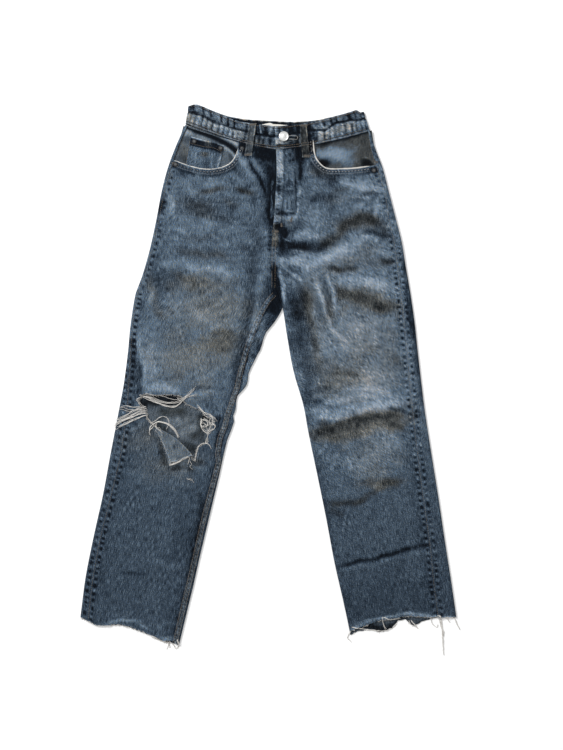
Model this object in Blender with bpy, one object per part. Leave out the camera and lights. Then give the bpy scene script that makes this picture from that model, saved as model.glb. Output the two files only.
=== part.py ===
"""Ripped straight-leg jeans, laid flat on their back.

The jeans lie on the plane z = 0 with the waist towards +Y and the front up (+Z).  "Right" and
"left" are the wearer's, so the right leg lies towards -X.  Each leg is a flattened tube of denim:
a front panel on top, and a back panel below it that turns up round the folded edges to meet the
front at the outseam and the inseam.  Every piece is a wall of cloth, and pieces lie a seam gap
apart.  Tables are in millimetres and everything built from them is in metres.
"""

import math

import bmesh
import bpy
import numpy as np

MM = 0.001

# Cloth and seams
DENIM = 1.1 * MM
BAND_CLOTH = 2.2 * MM
SEAM_GAP = 0.3 * MM

# The stack of layers, from the floor up
TUBE_HEIGHT = 5.8 * MM
SAG = 2.0 * MM
SAG_FROM, SAG_TO = 4.2, 6.5
FOLD_WINDOW = 14 * MM
SEAT_LIFT = DENIM + SEAM_GAP
HIP_TOP = SEAT_LIFT + TUBE_HEIGHT

# Waistband, loops, pockets and metal
BAND_HEIGHT = 40 * MM
LOOP_WIDTH, LOOP_LENGTH = 14 * MM, 62 * MM
RIVET_RADIUS, RIVET_HEIGHT = 4.5 * MM, 1.1 * MM
BUTTON_RADIUS, BUTTON_HEIGHT = 9.6 * MM, 3.4 * MM
BACK_POCKET_WIDTH, BACK_POCKET_SIDE, BACK_POCKET_DEPTH = 132 * MM, 112 * MM, 136 * MM

# The sections of the body and legs, one row each, from the waist seam (0) to the hem (16).
# outer and inner are the ends of the section in plan; above the crotch (row 6) the inner end is
# the centre seam, and below it the inner fold of the leg.  outseam and inseam say how far in from
# those ends the seams lie on top, fold is 1 where the inner end is a fold, lift is the height of
# the underside over the floor, and bow is how far the section curves down in its middle.
SECTION_COLUMNS = (
    "outer_x", "outer_y", "inner_x", "inner_y", "outseam", "inseam", "fold", "lift", "bow"
)
RIGHT_SECTIONS = np.array([
    (-160, 482, 14.0, 438.0, 4.0, 0, 0, 1.4, 4.5),
    (-178, 442, 15.5, 397.5, 5.0, 0, 0, 1.4, 3.0),
    (-194, 399, 14.0, 355.0, 6.0, 0, 0, 1.4, 1.0),
    (-206, 353, 11.0, 310.5, 5.0, 0, 0, 1.4, 0),
    (-217, 295, 7.0, 260.5, 4.0, 0, 0, 1.4, 0),
    (-229, 241, 5.0, 218.0, 3.5, 0, 0, 1.4, 0),
    (-244, 189, 15.5, 167.0, 3.5, 6, 1, 0.7, 0),
    (-256, 158, 27.0, 129.5, 3.5, 30, 1, 0, 0),
    (-266, 96, -12.0, 66.0, 3.5, 30, 1, 0, 0),
    (-271, 44, -34.0, 8.0, 5.0, 22, 1, 0, 0),
    (-279, -17, -61.0, -58.0, 9.0, 7, 1, 0, 0),
    (-289, -71, -74.0, -112.0, 15.0, 7, 1, 0, 0),
    (-304, -149, -93.0, -193.0, 19.0, 10, 1, 0, 0),
    (-319, -230, -113.0, -276.0, 15.0, 12, 1, 0, 0),
    (-337, -311, -133.0, -359.0, 13.0, 11, 1, 0, 0),
    (-353, -392, -153.0, -440.0, 14.0, 11, 1, 0, 0),
    (-362, -465, -172.0, -519.0, 15.0, 10, 1, 0, 2.0),
])
LEFT_SECTIONS = np.array([
    (195, 473, 14.0, 438.0, 3.5, 0, 0, 1.4, 5.5),
    (206, 436, 15.5, 397.5, 8.0, 0, 0, 1.4, 3.0),
    (220, 399, 14.0, 355.0, 10.0, 0, 0, 1.4, 1.0),
    (232, 353, 11.0, 310.5, 7.0, 0, 0, 1.4, 0),
    (245, 303, 7.0, 260.5, 13.0, 0, 0, 1.4, 0),
    (257, 255, 5.0, 218.0, 14.0, 0, 0, 1.4, 0),
    (265, 207, 15.5, 167.0, 15.5, 0, 1, 0.7, 0),
    (273, 162, 27.0, 129.5, 18.0, 0, 1, 0, 0),
    (282, 100, 36.0, 73.0, 20.0, 0, 1, 0, 0),
    (288, 44, 48.0, 8.0, 20.5, 0, 1, 0, 0),
    (295, -17, 67.0, -58.0, 22.0, 0, 1, 0, 0),
    (302, -73, 77.0, -112.0, 23.0, 0, 1, 0, 0),
    (314, -151, 94.0, -193.0, 26.0, 0, 1, 0, 0),
    (327, -232, 111.0, -276.0, 28.5, 0, 1, 0, 0),
    (340, -319, 127.0, -361.0, 29.0, 0, 1, 0, 0),
    (352, -396, 144.0, -436.0, 33.0, 0, 1, 0, 0),
    (362, -465, 157.0, -496.0, 34.0, 0, 1, 0, -9.0),
])
CROTCH, HEM = 6, 16
# Rows go every half section.  The one between the crotch and the apex is left out, because the
# two legs part there and share one straight edge.
ROWS = [v for v in np.arange(0, HEM + 0.25, 0.5) if v != CROTCH + 0.5]
FRONT_SHARES = np.linspace(0, 1, 11)
BACK_SHARES = np.linspace(0, 1, 15)
FOLD_WEIGHT = 14  # columns per millimetre on a folded edge, against 1 on the flat

# The largest folds of the front, each a ridge from one point to another in plan:
# x1, y1, x2, y2, width, height
FOLDS = np.array([
    (-225, 213, -60, 206, 24, 1.8),
    (-12, 240, -30, 120, 16, 1.5),
    (-150, 60, -60, 70, 40, 1.0),
    (-290, -60, -140, -40, 34, 2.0),
    (-230, -150, -130, -190, 40, 1.6),
    (-330, -350, -150, -385, 50, 0.9),
    (12, 230, 120, 225, 18, 2.0),
    (120, 225, 195, 268, 18, 2.0),
    (100, 190, 130, 75, 14, 1.6),
    (130, 180, 240, 172, 20, 1.8),
    (75, -66, 240, -50, 22, 2.0),
    (90, -240, 250, -205, 40, 1.0),
    (135, -352, 290, -318, 26, 1.4),
])

# The front pockets' openings, from the waist seam to the side seam
RIGHT_OPENING = [
    (-58, 460), (-59, 438), (-64, 420), (-73, 409), (-86, 401.5), (-107, 397), (-129, 398.5),
    (-147, 403.5), (-164, 408.5), (-179, 413), (-205, 419),
]
LEFT_OPENING = [
    (88, 460), (90, 428), (96, 412), (105, 402), (117, 396.5), (142, 397), (168, 398),
    (191, 399), (205, 402), (235, 408),
]
OPENING_UNDERLAY = 15 * MM
COIN_POCKET = [(-149, 459.5), (-86, 442), (-97, 388), (-160, 399)]

# The rip at the right knee and the flap that hangs out of it
KNEE_RIP = [
    (-271, -60), (-247, -51), (-245, -43), (-234, -36), (-210, -38), (-190, -37), (-171, -40),
    (-165, -50), (-153, -56), (-144, -64), (-132, -68), (-124, -74), (-117, -80), (-107, -89),
    (-105, -102), (-112, -112), (-116, -120), (-118, -130), (-134, -137), (-137, -145),
    (-140, -160), (-144, -166), (-152, -158), (-171, -141), (-194, -123), (-216, -105),
    (-226, -93), (-234, -83), (-242, -83), (-267, -93), (-274, -99),
]
# Each row is a line across the flap: its folded edge's x and y, and its torn edge's x and y
FLAP_ROWS = np.array([
    (-216, -101, -218, -105),
    (-203, -109, -210, -117),
    (-188, -120, -203, -130),
    (-173, -132, -198, -143),
    (-159, -144, -194, -156),
    (-147, -155, -191, -170),
])

# The back: the section of the yoke seam at the side, how far it drops towards the centre, where
# the rows are level again, and the extra rise at the centre of the waist
YOKE_AT_SIDE, YOKE_DROP, ROWS_LEVEL = 1.5, 0.6, 3.5
BACK_RISE = 0.28
YOKE_GAP = 0.004
# Where the left half of the waistband starts to climb over the right half and ends its climb,
# and where the right half ends below it, as shares of the front from the outseam to the centre
CLIMB_START, CLIMB_END, UNDERLAP_END = 0.77, 0.815, 0.835
UNDERLAP_DROP, OVERLAP_CLIMB = 0.4 * MM, 2.1 * MM
# How far the top corners of the waistband lean in from the lower ones
BAND_LEAN_RIGHT, BAND_LEAN_LEFT = 6.0 * MM, -12.0 * MM
FACING_EDGE = 3.6 * MM

DARK_DENIM = (0.055, 0.085, 0.125)
WORN_DENIM = (0.13, 0.17, 0.22)
PALE_DENIM = (0.20, 0.25, 0.31)
WHITE_COTTON = (0.72, 0.71, 0.68)
WHITE_METAL = (0.80, 0.79, 0.76)
AGED_COPPER = (0.10, 0.08, 0.07)


def clear_scene():
    for obj in list(bpy.data.objects):
        bpy.data.objects.remove(obj)


def material(name, colour, roughness=0.85, metallic=0.0):
    made = bpy.data.materials.new(name)
    made.use_nodes = True
    shader = made.node_tree.nodes["Principled BSDF"]
    shader.inputs["Base Color"].default_value = (*colour, 1.0)
    shader.inputs["Roughness"].default_value = roughness
    shader.inputs["Metallic"].default_value = metallic
    return made


def smoothstep(low, high, x):
    t = np.clip((x - low) / (high - low), 0.0, 1.0)
    return t * t * (3 - 2 * t)


def smooth_row(table, v):
    """The table's row at v: a Catmull-Rom curve through the rows, and a straight line past them."""
    last = len(table) - 1
    i = int(np.clip(math.floor(v), 0, last - 1))
    t = v - i
    p1, p2 = table[i], table[i + 1]
    if not 0 <= t <= 1:
        return p1 + t * (p2 - p1)
    p0 = table[max(i - 1, 0)]
    p3 = table[min(i + 2, last)]
    m1, m2 = (p2 - p0) / 2, (p3 - p1) / 2
    return (
        (2 * t**3 - 3 * t**2 + 1) * p1
        + (t**3 - 2 * t**2 + t) * m1
        + (3 * t**2 - 2 * t**3) * p2
        + (t**3 - t**2) * m2
    )


def fold_relief(x, y):
    """Height of the large folds at a point in plan, from 0 to SAG."""
    total = 0.0
    for x1, y1, x2, y2, width, height in FOLDS * MM:
        run = np.array([x2 - x1, y2 - y1])
        from_start = np.array([x - x1, y - y1])
        along = from_start @ run / (run @ run)
        off = from_start - np.clip(along, 0, 1) * run
        total += height * math.exp(-(off @ off) / width**2)
    return min(total, SAG)


class Section:
    """One section across half the body or one leg, and the closed outline of its tube."""

    def __init__(self, table, v):
        row = dict(zip(SECTION_COLUMNS, smooth_row(table, v)))
        self.v = v
        self.outer = np.array([row["outer_x"], row["outer_y"]]) * MM
        self.inner = np.array([row["inner_x"], row["inner_y"]]) * MM
        full_width = float(np.linalg.norm(self.inner - self.outer))
        self.across = (self.inner - self.outer) / full_width
        self.width = full_width - SEAM_GAP / 2
        side = math.copysign(1.0, self.outer[0])
        self.down = side * np.array([-self.across[1], self.across[0]])
        self.bow = row["bow"] * MM
        self.lift = float(np.clip(row["lift"], 0, SEAT_LIFT / MM)) * MM
        self.radius = TUBE_HEIGHT / 2
        self.inner_radius = self.radius * float(np.clip(row["fold"], 0, 1))
        self.outer_arc = math.pi / 2 * self.radius
        self.inner_arc = math.pi / 2 * self.inner_radius
        self.flat = self.width - self.radius - self.inner_radius
        self.half_round = self.outer_arc + self.flat + self.inner_arc
        self.outseam = self.outer_arc + row["outseam"] * MM - self.radius
        inseam = row["inseam"] * MM
        self.inseam_back = 0.0
        if inseam > self.inner_radius:
            self.inseam_back = self.inner_arc + inseam - self.inner_radius
        elif inseam > 0:
            self.inseam_back = self.inner_radius * math.acos(1 - inseam / self.inner_radius)

    def plan(self, a):
        share = a / self.width
        return self.outer + a * self.across + self.down * self.bow * 4 * share * (1 - share)

    def top(self, a):
        """Height of the outer face of the top layer, a metres in from the outer end."""
        x, y = self.plan(a)
        sag = SAG * smoothstep(SAG_FROM, SAG_TO, self.v)
        window = smoothstep(self.radius, self.radius + FOLD_WINDOW, a)
        if self.inner_radius > 0:
            window *= smoothstep(self.inner_radius, self.inner_radius + FOLD_WINDOW, self.width - a)
        return self.lift + TUBE_HEIGHT - window * sag * (1 - fold_relief(x, y) / SAG)

    def point(self, along, inset):
        """A point of the tube.  along runs round it from the outer edge: over the top where it
        is positive and under the bottom where it is negative."""
        side = 1 if along >= 0 else -1
        run = abs(along)
        if run < self.outer_arc:
            turn = run / self.radius
            a = self.radius - (self.radius - inset) * math.cos(turn)
            height = side * (self.radius - inset) * math.sin(turn)
            return self._place(a, self.lift + self.radius + height)
        a = self.radius + run - self.outer_arc
        if run <= self.outer_arc + self.flat or self.inner_radius == 0:
            z = self.top(a) - inset if side > 0 else self.lift + inset
            return self._place(a, z)
        turn = (run - self.outer_arc - self.flat) / self.inner_radius
        if turn <= math.pi:
            reach = self.inner_radius - inset
            a = self.width - self.inner_radius + reach * math.sin(turn)
            if side > 0:
                z = self.lift + TUBE_HEIGHT - self.inner_radius + reach * math.cos(turn)
            else:
                z = self.lift + self.inner_radius - reach * math.cos(turn)
            return self._place(a, z)
        a = self.width - self.inner_radius - (turn - math.pi) * self.inner_radius
        z = self.top(a) - inset if side < 0 else self.lift + inset
        return self._place(a, z)

    def _place(self, a, z):
        x, y = self.plan(a)
        return np.array([x, y, z])

    def columns(self, start, end, shares):
        """Positions round the tube from start to end, closer together on the folds."""
        fine = np.linspace(start, end, 400)
        run = np.abs(fine)
        fold_end = self.outer_arc + self.flat
        in_outer = run < self.outer_arc
        in_inner = (run > fold_end) & (run < fold_end + 2 * self.inner_arc)
        weight = np.where(in_outer | in_inner, FOLD_WEIGHT, 1.0)
        steps = np.concatenate([[0], np.cumsum((weight[1:] + weight[:-1]) / 2)])
        return np.interp(np.asarray(shares) * steps[-1], steps, fine)

    def front_columns(self, shares):
        end = self.half_round - self.inseam_back - SEAM_GAP / 2
        return self.columns(self.outseam + SEAM_GAP / 2, end, shares)

    def back_columns(self, shares):
        end = self.half_round + self.inseam_back - SEAM_GAP / 2
        return self.columns(self.outseam - SEAM_GAP / 2, -end, shares)


def finish_object(name, mesh, cloth, smooth=True):
    obj = bpy.data.objects.new(name, mesh)
    bpy.context.scene.collection.objects.link(obj)
    if cloth is not None:
        mesh.materials.append(cloth)
    if smooth:
        mesh.shade_smooth()
        mesh.set_sharp_from_angle(angle=math.radians(40))
    return obj


def wall(name, outer_rows, inner_rows, cloth):
    """A closed wall between two grids of points, the outer one facing out."""
    mesh = bpy.data.meshes.new(name)
    bm = bmesh.new()
    outer = [[bm.verts.new(p) for p in row] for row in outer_rows]
    inner = [[bm.verts.new(p) for p in row] for row in inner_rows]
    rows, columns = len(outer), len(outer[0])
    for i in range(rows - 1):
        for j in range(columns - 1):
            bm.faces.new((outer[i][j], outer[i + 1][j], outer[i + 1][j + 1], outer[i][j + 1]))
            bm.faces.new((inner[i][j], inner[i][j + 1], inner[i + 1][j + 1], inner[i + 1][j]))
    for i in range(rows - 1):
        for j in (0, columns - 1):
            bm.faces.new((outer[i][j], inner[i][j], inner[i + 1][j], outer[i + 1][j]))
    for j in range(columns - 1):
        for i in (0, rows - 1):
            bm.faces.new((outer[i][j], outer[i][j + 1], inner[i][j + 1], inner[i][j]))
    bmesh.ops.recalc_face_normals(bm, faces=bm.faces)
    bm.to_mesh(mesh)
    bm.free()
    return finish_object(name, mesh, cloth)


def plate(name, outline, low, high, cloth):
    """A flat sheet of cloth with the outline given in plan, between two heights."""
    mesh = bpy.data.meshes.new(name)
    bm = bmesh.new()
    face = bm.faces.new([bm.verts.new((x, y, low)) for x, y in outline])
    raised = bmesh.ops.extrude_face_region(bm, geom=[face])["geom"]
    for vert in raised:
        if isinstance(vert, bmesh.types.BMVert):
            vert.co.z = high
    bmesh.ops.recalc_face_normals(bm, faces=bm.faces)
    bm.to_mesh(mesh)
    bm.free()
    return finish_object(name, mesh, cloth, smooth=False)


def turned(name, profile, x, y, low, cloth, steps=20):
    """A round metal piece: its profile, in radius and height, is turned about an upright axis."""
    mesh = bpy.data.meshes.new(name)
    bm = bmesh.new()
    turns = [2 * math.pi * k / steps for k in range(steps)]
    rings = []
    for radius, height in profile:
        ring = []
        for turn in turns:
            spot = (radius * math.cos(turn), radius * math.sin(turn), height)
            ring.append(bm.verts.new(spot))
        rings.append(ring)
    bm.faces.new(rings[0][::-1])
    bm.faces.new(rings[-1])
    for below, above in zip(rings, rings[1:]):
        for k in range(steps):
            j = (k + 1) % steps
            bm.faces.new((below[k], below[j], above[j], above[k]))
    bmesh.ops.recalc_face_normals(bm, faces=bm.faces)
    bm.to_mesh(mesh)
    bm.free()
    obj = finish_object(name, mesh, cloth)
    obj.location = (x, y, low)
    return obj


def cutter(name, outline):
    """An upright prism that goes through every layer, used only to cut."""
    obj = plate(name, outline, -0.02, 0.04, None)
    obj.hide_render = True
    obj.display_type = "WIRE"
    return obj


def cut(obj, tool):
    modifier = obj.modifiers.new("Cut " + tool.name, "BOOLEAN")
    modifier.operation = "DIFFERENCE"
    modifier.object = tool


def in_metres(points):
    return [(x * MM, y * MM) for x, y in points]


def front_panel(name, table, cloth):
    """The top layer of one leg and half the body, from the outseam to the centre or inseam."""
    outer_rows, inner_rows = [], []
    for v in ROWS:
        section = Section(table, v)
        columns = section.front_columns(FRONT_SHARES)
        outer_rows.append([section.point(c, 0) for c in columns])
        inner_rows.append([section.point(c, DENIM) for c in columns])
    return wall(name, outer_rows, inner_rows, cloth)


def back_wall(name, table, row_at, levels, cloth):
    """A piece of the bottom layer.  row_at(level, share) gives the section a point lies on."""
    outer_rows, inner_rows = [], []
    for level in levels:
        outer, inner = [], []
        for k, share in enumerate(BACK_SHARES):
            section = Section(table, row_at(level, share))
            along = section.back_columns(BACK_SHARES)[k]
            outer.append(section.point(along, 0))
            inner.append(section.point(along, DENIM))
        outer_rows.append(outer)
        inner_rows.append(inner)
    return wall(name, outer_rows, inner_rows, cloth)


def waist_row(share):
    return -BACK_RISE * share**2


def yoke(name, table, cloth):
    """From the waistband down to the yoke seam, which drops towards the centre."""

    def row_at(level, share):
        top = waist_row(share)
        seam = YOKE_AT_SIDE + YOKE_DROP * share - YOKE_GAP
        return top + (seam - top) * level / YOKE_AT_SIDE

    return back_wall(name, table, row_at, [v for v in ROWS if v <= YOKE_AT_SIDE], cloth)


def back_panel(name, table, cloth):
    """From the yoke seam down to the hem.  Its rows meet the front's rows at the outseam."""

    def row_at(level, share):
        left = np.clip((ROWS_LEVEL - level) / (ROWS_LEVEL - YOKE_AT_SIDE), 0, 1)
        return min(level + (YOKE_DROP * share + YOKE_GAP) * left, HEM)

    return back_wall(name, table, row_at, [v for v in ROWS if v >= YOKE_AT_SIDE], cloth)


def waistband(cloth):
    """One strip from the button end, round the back, to the buttonhole end that overlaps it.
    Its lower edge is made from the points of the panels below it, moved up by the seam gap."""
    lower, upper = [], []

    def stop(table, v, along, share, rise=0.0):
        section = Section(table, v)
        lean = BAND_LEAN_RIGHT if section.outer[0] < 0 else BAND_LEAN_LEFT
        faces = [section.point(along, 0), section.point(along, BAND_CLOTH)]
        low = [p + np.array([0, SEAM_GAP, rise]) for p in faces]
        lower.append(low)
        upper.append([p + np.array([lean * (1 - share), BAND_HEIGHT, 0]) for p in low])

    def front(table, shares, rise=0.0):
        for share, along in zip(shares, Section(table, 0).front_columns(shares)):
            stop(table, 0, along, share, rise)

    def back(table, indices):
        for k in indices:
            v = waist_row(BACK_SHARES[k])
            along = Section(table, v).back_columns(BACK_SHARES)[k]
            stop(table, v, along, BACK_SHARES[k])

    last = len(BACK_SHARES) - 1
    front(LEFT_SECTIONS, (UNDERLAP_END, 0.92, 0.999), -UNDERLAP_DROP)
    front(RIGHT_SECTIONS, FRONT_SHARES[:0:-1])
    back(RIGHT_SECTIONS, range(last + 1))
    back(LEFT_SECTIONS, range(last - 1, -1, -1))
    front(LEFT_SECTIONS, [s for s in FRONT_SHARES[1:] if s < CLIMB_START] + [CLIMB_START])
    front(LEFT_SECTIONS, (CLIMB_END, 0.9, 1.0), OVERLAP_CLIMB)

    outer_rows = [[faces[0] for faces in edge] for edge in (upper, lower)]
    inner_rows = [[faces[1] for faces in edge] for edge in (upper, lower)]
    return wall("waistband", outer_rows, inner_rows, cloth)


def strap_outline(x, y, width, length, lean):
    """A belt loop's outline: its centre at the top end, its size, and how far its foot leans."""
    half = width / 2
    foot = x + lean
    return [(x - half, y), (x + half, y), (foot + half, y - length), (foot - half, y - length)]


def belt_loops(cloth):
    """Two loops on the front of the band and three on the back, which lie under everything."""
    top = (HIP_TOP + SEAM_GAP, HIP_TOP + SEAM_GAP + DENIM)
    under = (0.0, DENIM)
    loops = [
        ("loop_front_right", -29, 484, -11, top), ("loop_front_left", 69, 482, 6, top),
        ("loop_back_right", -112, 508, -8, under), ("loop_back_left", 148, 503, 8, under),
        ("loop_back_centre", 14, 492, 0, under),
    ]
    for name, x, y, lean, (low, high) in loops:
        outline = strap_outline(x * MM, y * MM, LOOP_WIDTH, LOOP_LENGTH, lean * MM)
        plate(name, outline, low, high, cloth)


def pocket_facing(name, table, opening, depth, cloth):
    """The denim behind a pocket opening: from the waist seam down past the opening's edge."""
    edge = np.array(in_metres(opening[1:-1]))
    waist = Section(table, 0.012)
    reach = abs(edge[0][0] - waist.outer[0]) + 0.6 * OPENING_UNDERLAY
    outline = [waist.plan(a) for a in np.linspace(FACING_EDGE, reach, 5)]
    heart = edge[len(edge) // 2] + np.array([0, BAND_HEIGHT])
    side = [Section(table, v).plan(FACING_EDGE) for v in (1.95, 1.4, 0.7)]
    for x, y in edge[1:]:
        away = np.array([x, y]) - heart
        spot = np.array([x, y]) + OPENING_UNDERLAY * away / np.linalg.norm(away)
        if abs(spot[0]) < abs(side[0][0]):
            outline.append(spot)
    outline += side
    high = HIP_TOP - depth
    return plate(name, outline, high - DENIM, high, cloth)


def rivet_profile():
    return [
        (RIVET_RADIUS, 0), (RIVET_RADIUS, 0.5 * RIVET_HEIGHT),
        (0.8 * RIVET_RADIUS, RIVET_HEIGHT), (0.4 * RIVET_RADIUS, RIVET_HEIGHT),
        (0.3 * RIVET_RADIUS, 0.7 * RIVET_HEIGHT),
    ]


def rivets(metal):
    """Rivets at the ends of the pocket openings and at the coin pocket's corners."""
    on_front = HIP_TOP + SEAM_GAP
    on_coin = HIP_TOP - DENIM
    places = [
        ("rivet_coin_outer", -143, 450, on_coin), ("rivet_coin_inner", -92, 437, on_coin),
        ("rivet_right_side", -179, 405.5, on_front), ("rivet_right_waist", -51, 436, on_front),
        ("rivet_left_waist", 86, 434, on_front), ("rivet_left_side", 203, 394, on_front),
    ]
    for name, x, y, low in places:
        turned(name, rivet_profile(), x * MM, y * MM, low, metal, steps=12)


def button(metal):
    profile = [
        (0.86 * BUTTON_RADIUS, 0), (BUTTON_RADIUS, 0.3 * BUTTON_HEIGHT),
        (BUTTON_RADIUS, 0.6 * BUTTON_HEIGHT), (0.9 * BUTTON_RADIUS, 0.9 * BUTTON_HEIGHT),
        (0.7 * BUTTON_RADIUS, BUTTON_HEIGHT),
    ]
    low = HIP_TOP + OVERLAP_CLIMB + SEAM_GAP
    return turned("button", profile, 29.5 * MM, 459 * MM, low, metal, steps=24)


def back_pocket(name, x, y, turn, cloth):
    """A five-sided patch pocket that lies between the floor and the seat of the jeans."""
    half, tip = BACK_POCKET_WIDTH / 2, 0.9
    shape = [
        (-half, 0), (half, 0), (tip * half, -BACK_POCKET_SIDE), (0, -BACK_POCKET_DEPTH),
        (-tip * half, -BACK_POCKET_SIDE),
    ]
    c, s = math.cos(turn), math.sin(turn)
    outline = [(x + c * px - s * py, y + s * px + c * py) for px, py in shape]
    return plate(name, outline, 0.0, DENIM, cloth)


def knee_flap(cloth):
    """The torn tongue of denim: folded back along its clean edge, it lies on the shin."""
    shares = (0, 0.5, 1)
    outer_rows, inner_rows = [], []
    for folded_x, folded_y, torn_x, torn_y in FLAP_ROWS * MM:
        outer, inner = [], []
        for share in shares:
            x = folded_x + (torn_x - folded_x) * share
            y = folded_y + (torn_y - folded_y) * share
            z = TUBE_HEIGHT - SAG + fold_relief(x, y) + 2 * SEAM_GAP
            outer.append((x, y, z + DENIM))
            inner.append((x, y, z))
        outer_rows.append(outer)
        inner_rows.append(inner)
    return wall("knee_flap", outer_rows, inner_rows, cloth)


def main():
    clear_scene()
    worn = material("worn denim", WORN_DENIM)
    dark = material("dark denim", DARK_DENIM)
    pale = material("pale denim", PALE_DENIM)
    cotton = material("white cotton", WHITE_COTTON)
    white_metal = material("white metal", WHITE_METAL, 0.35, 1.0)
    copper = material("aged copper", AGED_COPPER, 0.5, 1.0)

    front_right = front_panel("front_right", RIGHT_SECTIONS, worn)
    front_left = front_panel("front_left", LEFT_SECTIONS, worn)
    outside_right = [(-260, 419), (-260, 560), (-58, 560)]
    outside_left = [(270, 408), (270, 560), (88, 560)]
    cut(front_right, cutter("cut_right_opening", in_metres(RIGHT_OPENING + outside_right)))
    cut(front_left, cutter("cut_left_opening", in_metres(LEFT_OPENING + outside_left)))
    cut(front_right, cutter("cut_knee_rip", in_metres(KNEE_RIP)))

    back_panel("back_right", RIGHT_SECTIONS, dark)
    back_panel("back_left", LEFT_SECTIONS, dark)
    yoke("yoke_right", RIGHT_SECTIONS, dark)
    yoke("yoke_left", LEFT_SECTIONS, dark)
    waistband(worn)
    belt_loops(dark)

    coin_depth = DENIM + SEAM_GAP
    pocket_facing("facing_right", RIGHT_SECTIONS, RIGHT_OPENING, 2 * coin_depth, pale)
    pocket_facing("facing_left", LEFT_SECTIONS, LEFT_OPENING, coin_depth, pale)
    coin_top = HIP_TOP - coin_depth
    plate("coin_pocket", in_metres(COIN_POCKET), coin_top - DENIM, coin_top, pale)
    back_pocket("back_pocket_right", -94 * MM, 357 * MM, math.radians(-9), dark)
    back_pocket("back_pocket_left", 118 * MM, 360 * MM, math.radians(9), dark)

    shield = [(8, 434), (50, 436), (46, 300), (34, 262), (2, 262)]
    shield_top = HIP_TOP - DENIM - SEAM_GAP
    plate("fly_shield", in_metres(shield), shield_top - 1.8 * MM, shield_top, dark)
    label = [(-16, 460), (47, 458), (46, 485.5), (-16, 489)]
    label_low = SEAT_LIFT + BAND_CLOTH + SEAM_GAP
    plate("waist_label", in_metres(label), label_low, label_low + 0.4 * MM, cotton)

    knee_flap(pale)
    rivets(copper)
    button(white_metal)


main()
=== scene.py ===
# %% [markdown]
# # Ripped straight-leg jeans, laid flat
# The jeans lie front up on a pale floor.  Each leg with its half of the body is a flattened tube
# of denim: a front panel on top, and a back panel that turns up round the folded sides to meet
# the front at its seams.  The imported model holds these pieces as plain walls.  Here each one
# gets its real surface: creases, puckered seams, fading, stitches, torn threads and raw hems.
# The wearer's right leg lies towards -X, the waist towards +Y, and the front faces +Z.

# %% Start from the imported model
import math

import bpy
import numpy as np
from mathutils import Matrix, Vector
from mathutils.bvhtree import BVHTree


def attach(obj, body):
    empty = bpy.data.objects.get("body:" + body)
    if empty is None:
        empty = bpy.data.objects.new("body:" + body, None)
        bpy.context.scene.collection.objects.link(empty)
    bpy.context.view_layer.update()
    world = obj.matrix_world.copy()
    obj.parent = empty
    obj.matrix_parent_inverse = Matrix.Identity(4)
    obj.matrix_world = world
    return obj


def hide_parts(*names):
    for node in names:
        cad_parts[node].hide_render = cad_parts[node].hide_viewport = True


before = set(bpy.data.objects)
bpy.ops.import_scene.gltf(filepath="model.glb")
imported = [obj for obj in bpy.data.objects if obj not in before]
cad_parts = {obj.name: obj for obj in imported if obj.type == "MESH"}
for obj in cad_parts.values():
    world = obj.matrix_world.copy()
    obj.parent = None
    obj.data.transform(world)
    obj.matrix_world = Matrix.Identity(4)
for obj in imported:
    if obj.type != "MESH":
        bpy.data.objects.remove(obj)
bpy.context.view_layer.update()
MM = 0.001
print("nodes to dress:", ", ".join(sorted(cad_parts)))

# %% [markdown]
# ## Camera, floor and light
# The camera looks straight down from high up, so that the flat garment keeps its outline.  The
# floor is a matt white sheet.  A little light of its own, seen only by the camera and by
# reflections, lifts it to white and leaves the jeans' soft shadow on it.  A pale sky gives even
# light, and one large lamp from the upper left models the creases.

# %% Camera
VIEW_HEIGHT = 1.4475
CAMERA_HEIGHT = 2.9
CAMERA_ASIDE = 0.0251
camera_data = bpy.data.cameras.new("camera")
camera_data.lens_unit = "FOV"
camera_data.angle = 2 * math.atan(VIEW_HEIGHT / 2 / CAMERA_HEIGHT)
camera = bpy.data.objects.new("camera", camera_data)
bpy.context.scene.collection.objects.link(camera)
camera.location = (CAMERA_ASIDE, 0, CAMERA_HEIGHT)
bpy.context.scene.camera = camera
bpy.context.scene.view_settings.view_transform = "Standard"
print("camera covers", round(VIEW_HEIGHT, 3), "m from top to bottom")


# %% Small helpers for nodes
def new_material(name):
    made = bpy.data.materials.new(name)
    made.use_nodes = True
    return made, made.node_tree, made.node_tree.nodes["Principled BSDF"]


def add_node(tree, kind, inputs=None, **settings):
    """A node with its settings, and each input either linked from a socket or set to a value."""
    node = tree.nodes.new("ShaderNode" + kind)
    for key, value in settings.items():
        setattr(node, key, value)
    for key, value in (inputs or {}).items():
        if isinstance(value, bpy.types.NodeSocket):
            tree.links.new(value, node.inputs[key])
        else:
            node.inputs[key].default_value = value
    return node


def calc(tree, operation, a, b=0.0, c=0.0):
    node = add_node(tree, "Math", {0: a, 1: b, 2: c}, operation=operation)
    return node.outputs[0]


def mix_colour(tree, share, a, b, blend="MIX"):
    inputs = {"Factor": share, "A": a, "B": b}
    node = tree.nodes.new("ShaderNodeMix")
    node.data_type = "RGBA"
    node.blend_type = blend
    sockets = {"Factor": node.inputs[0], "A": node.inputs[6], "B": node.inputs[7]}
    for key, value in inputs.items():
        if isinstance(value, bpy.types.NodeSocket):
            tree.links.new(value, sockets[key])
        else:
            sockets[key].default_value = value
    return node.outputs[2]


# %% Floor
FLOOR_HALF = 6.0
FLOOR_WHITE = 0.8
FLOOR_LIFT = 0.08
floor_mesh = bpy.data.meshes.new("floor")
floor_corners = [(-1, -1), (1, -1), (1, 1), (-1, 1)]
floor_mesh.from_pydata([(x * FLOOR_HALF, y * FLOOR_HALF, 0) for x, y in floor_corners], [], [(0, 1, 2, 3)])
floor = bpy.data.objects.new("floor", floor_mesh)
bpy.context.scene.collection.objects.link(floor)

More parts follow.
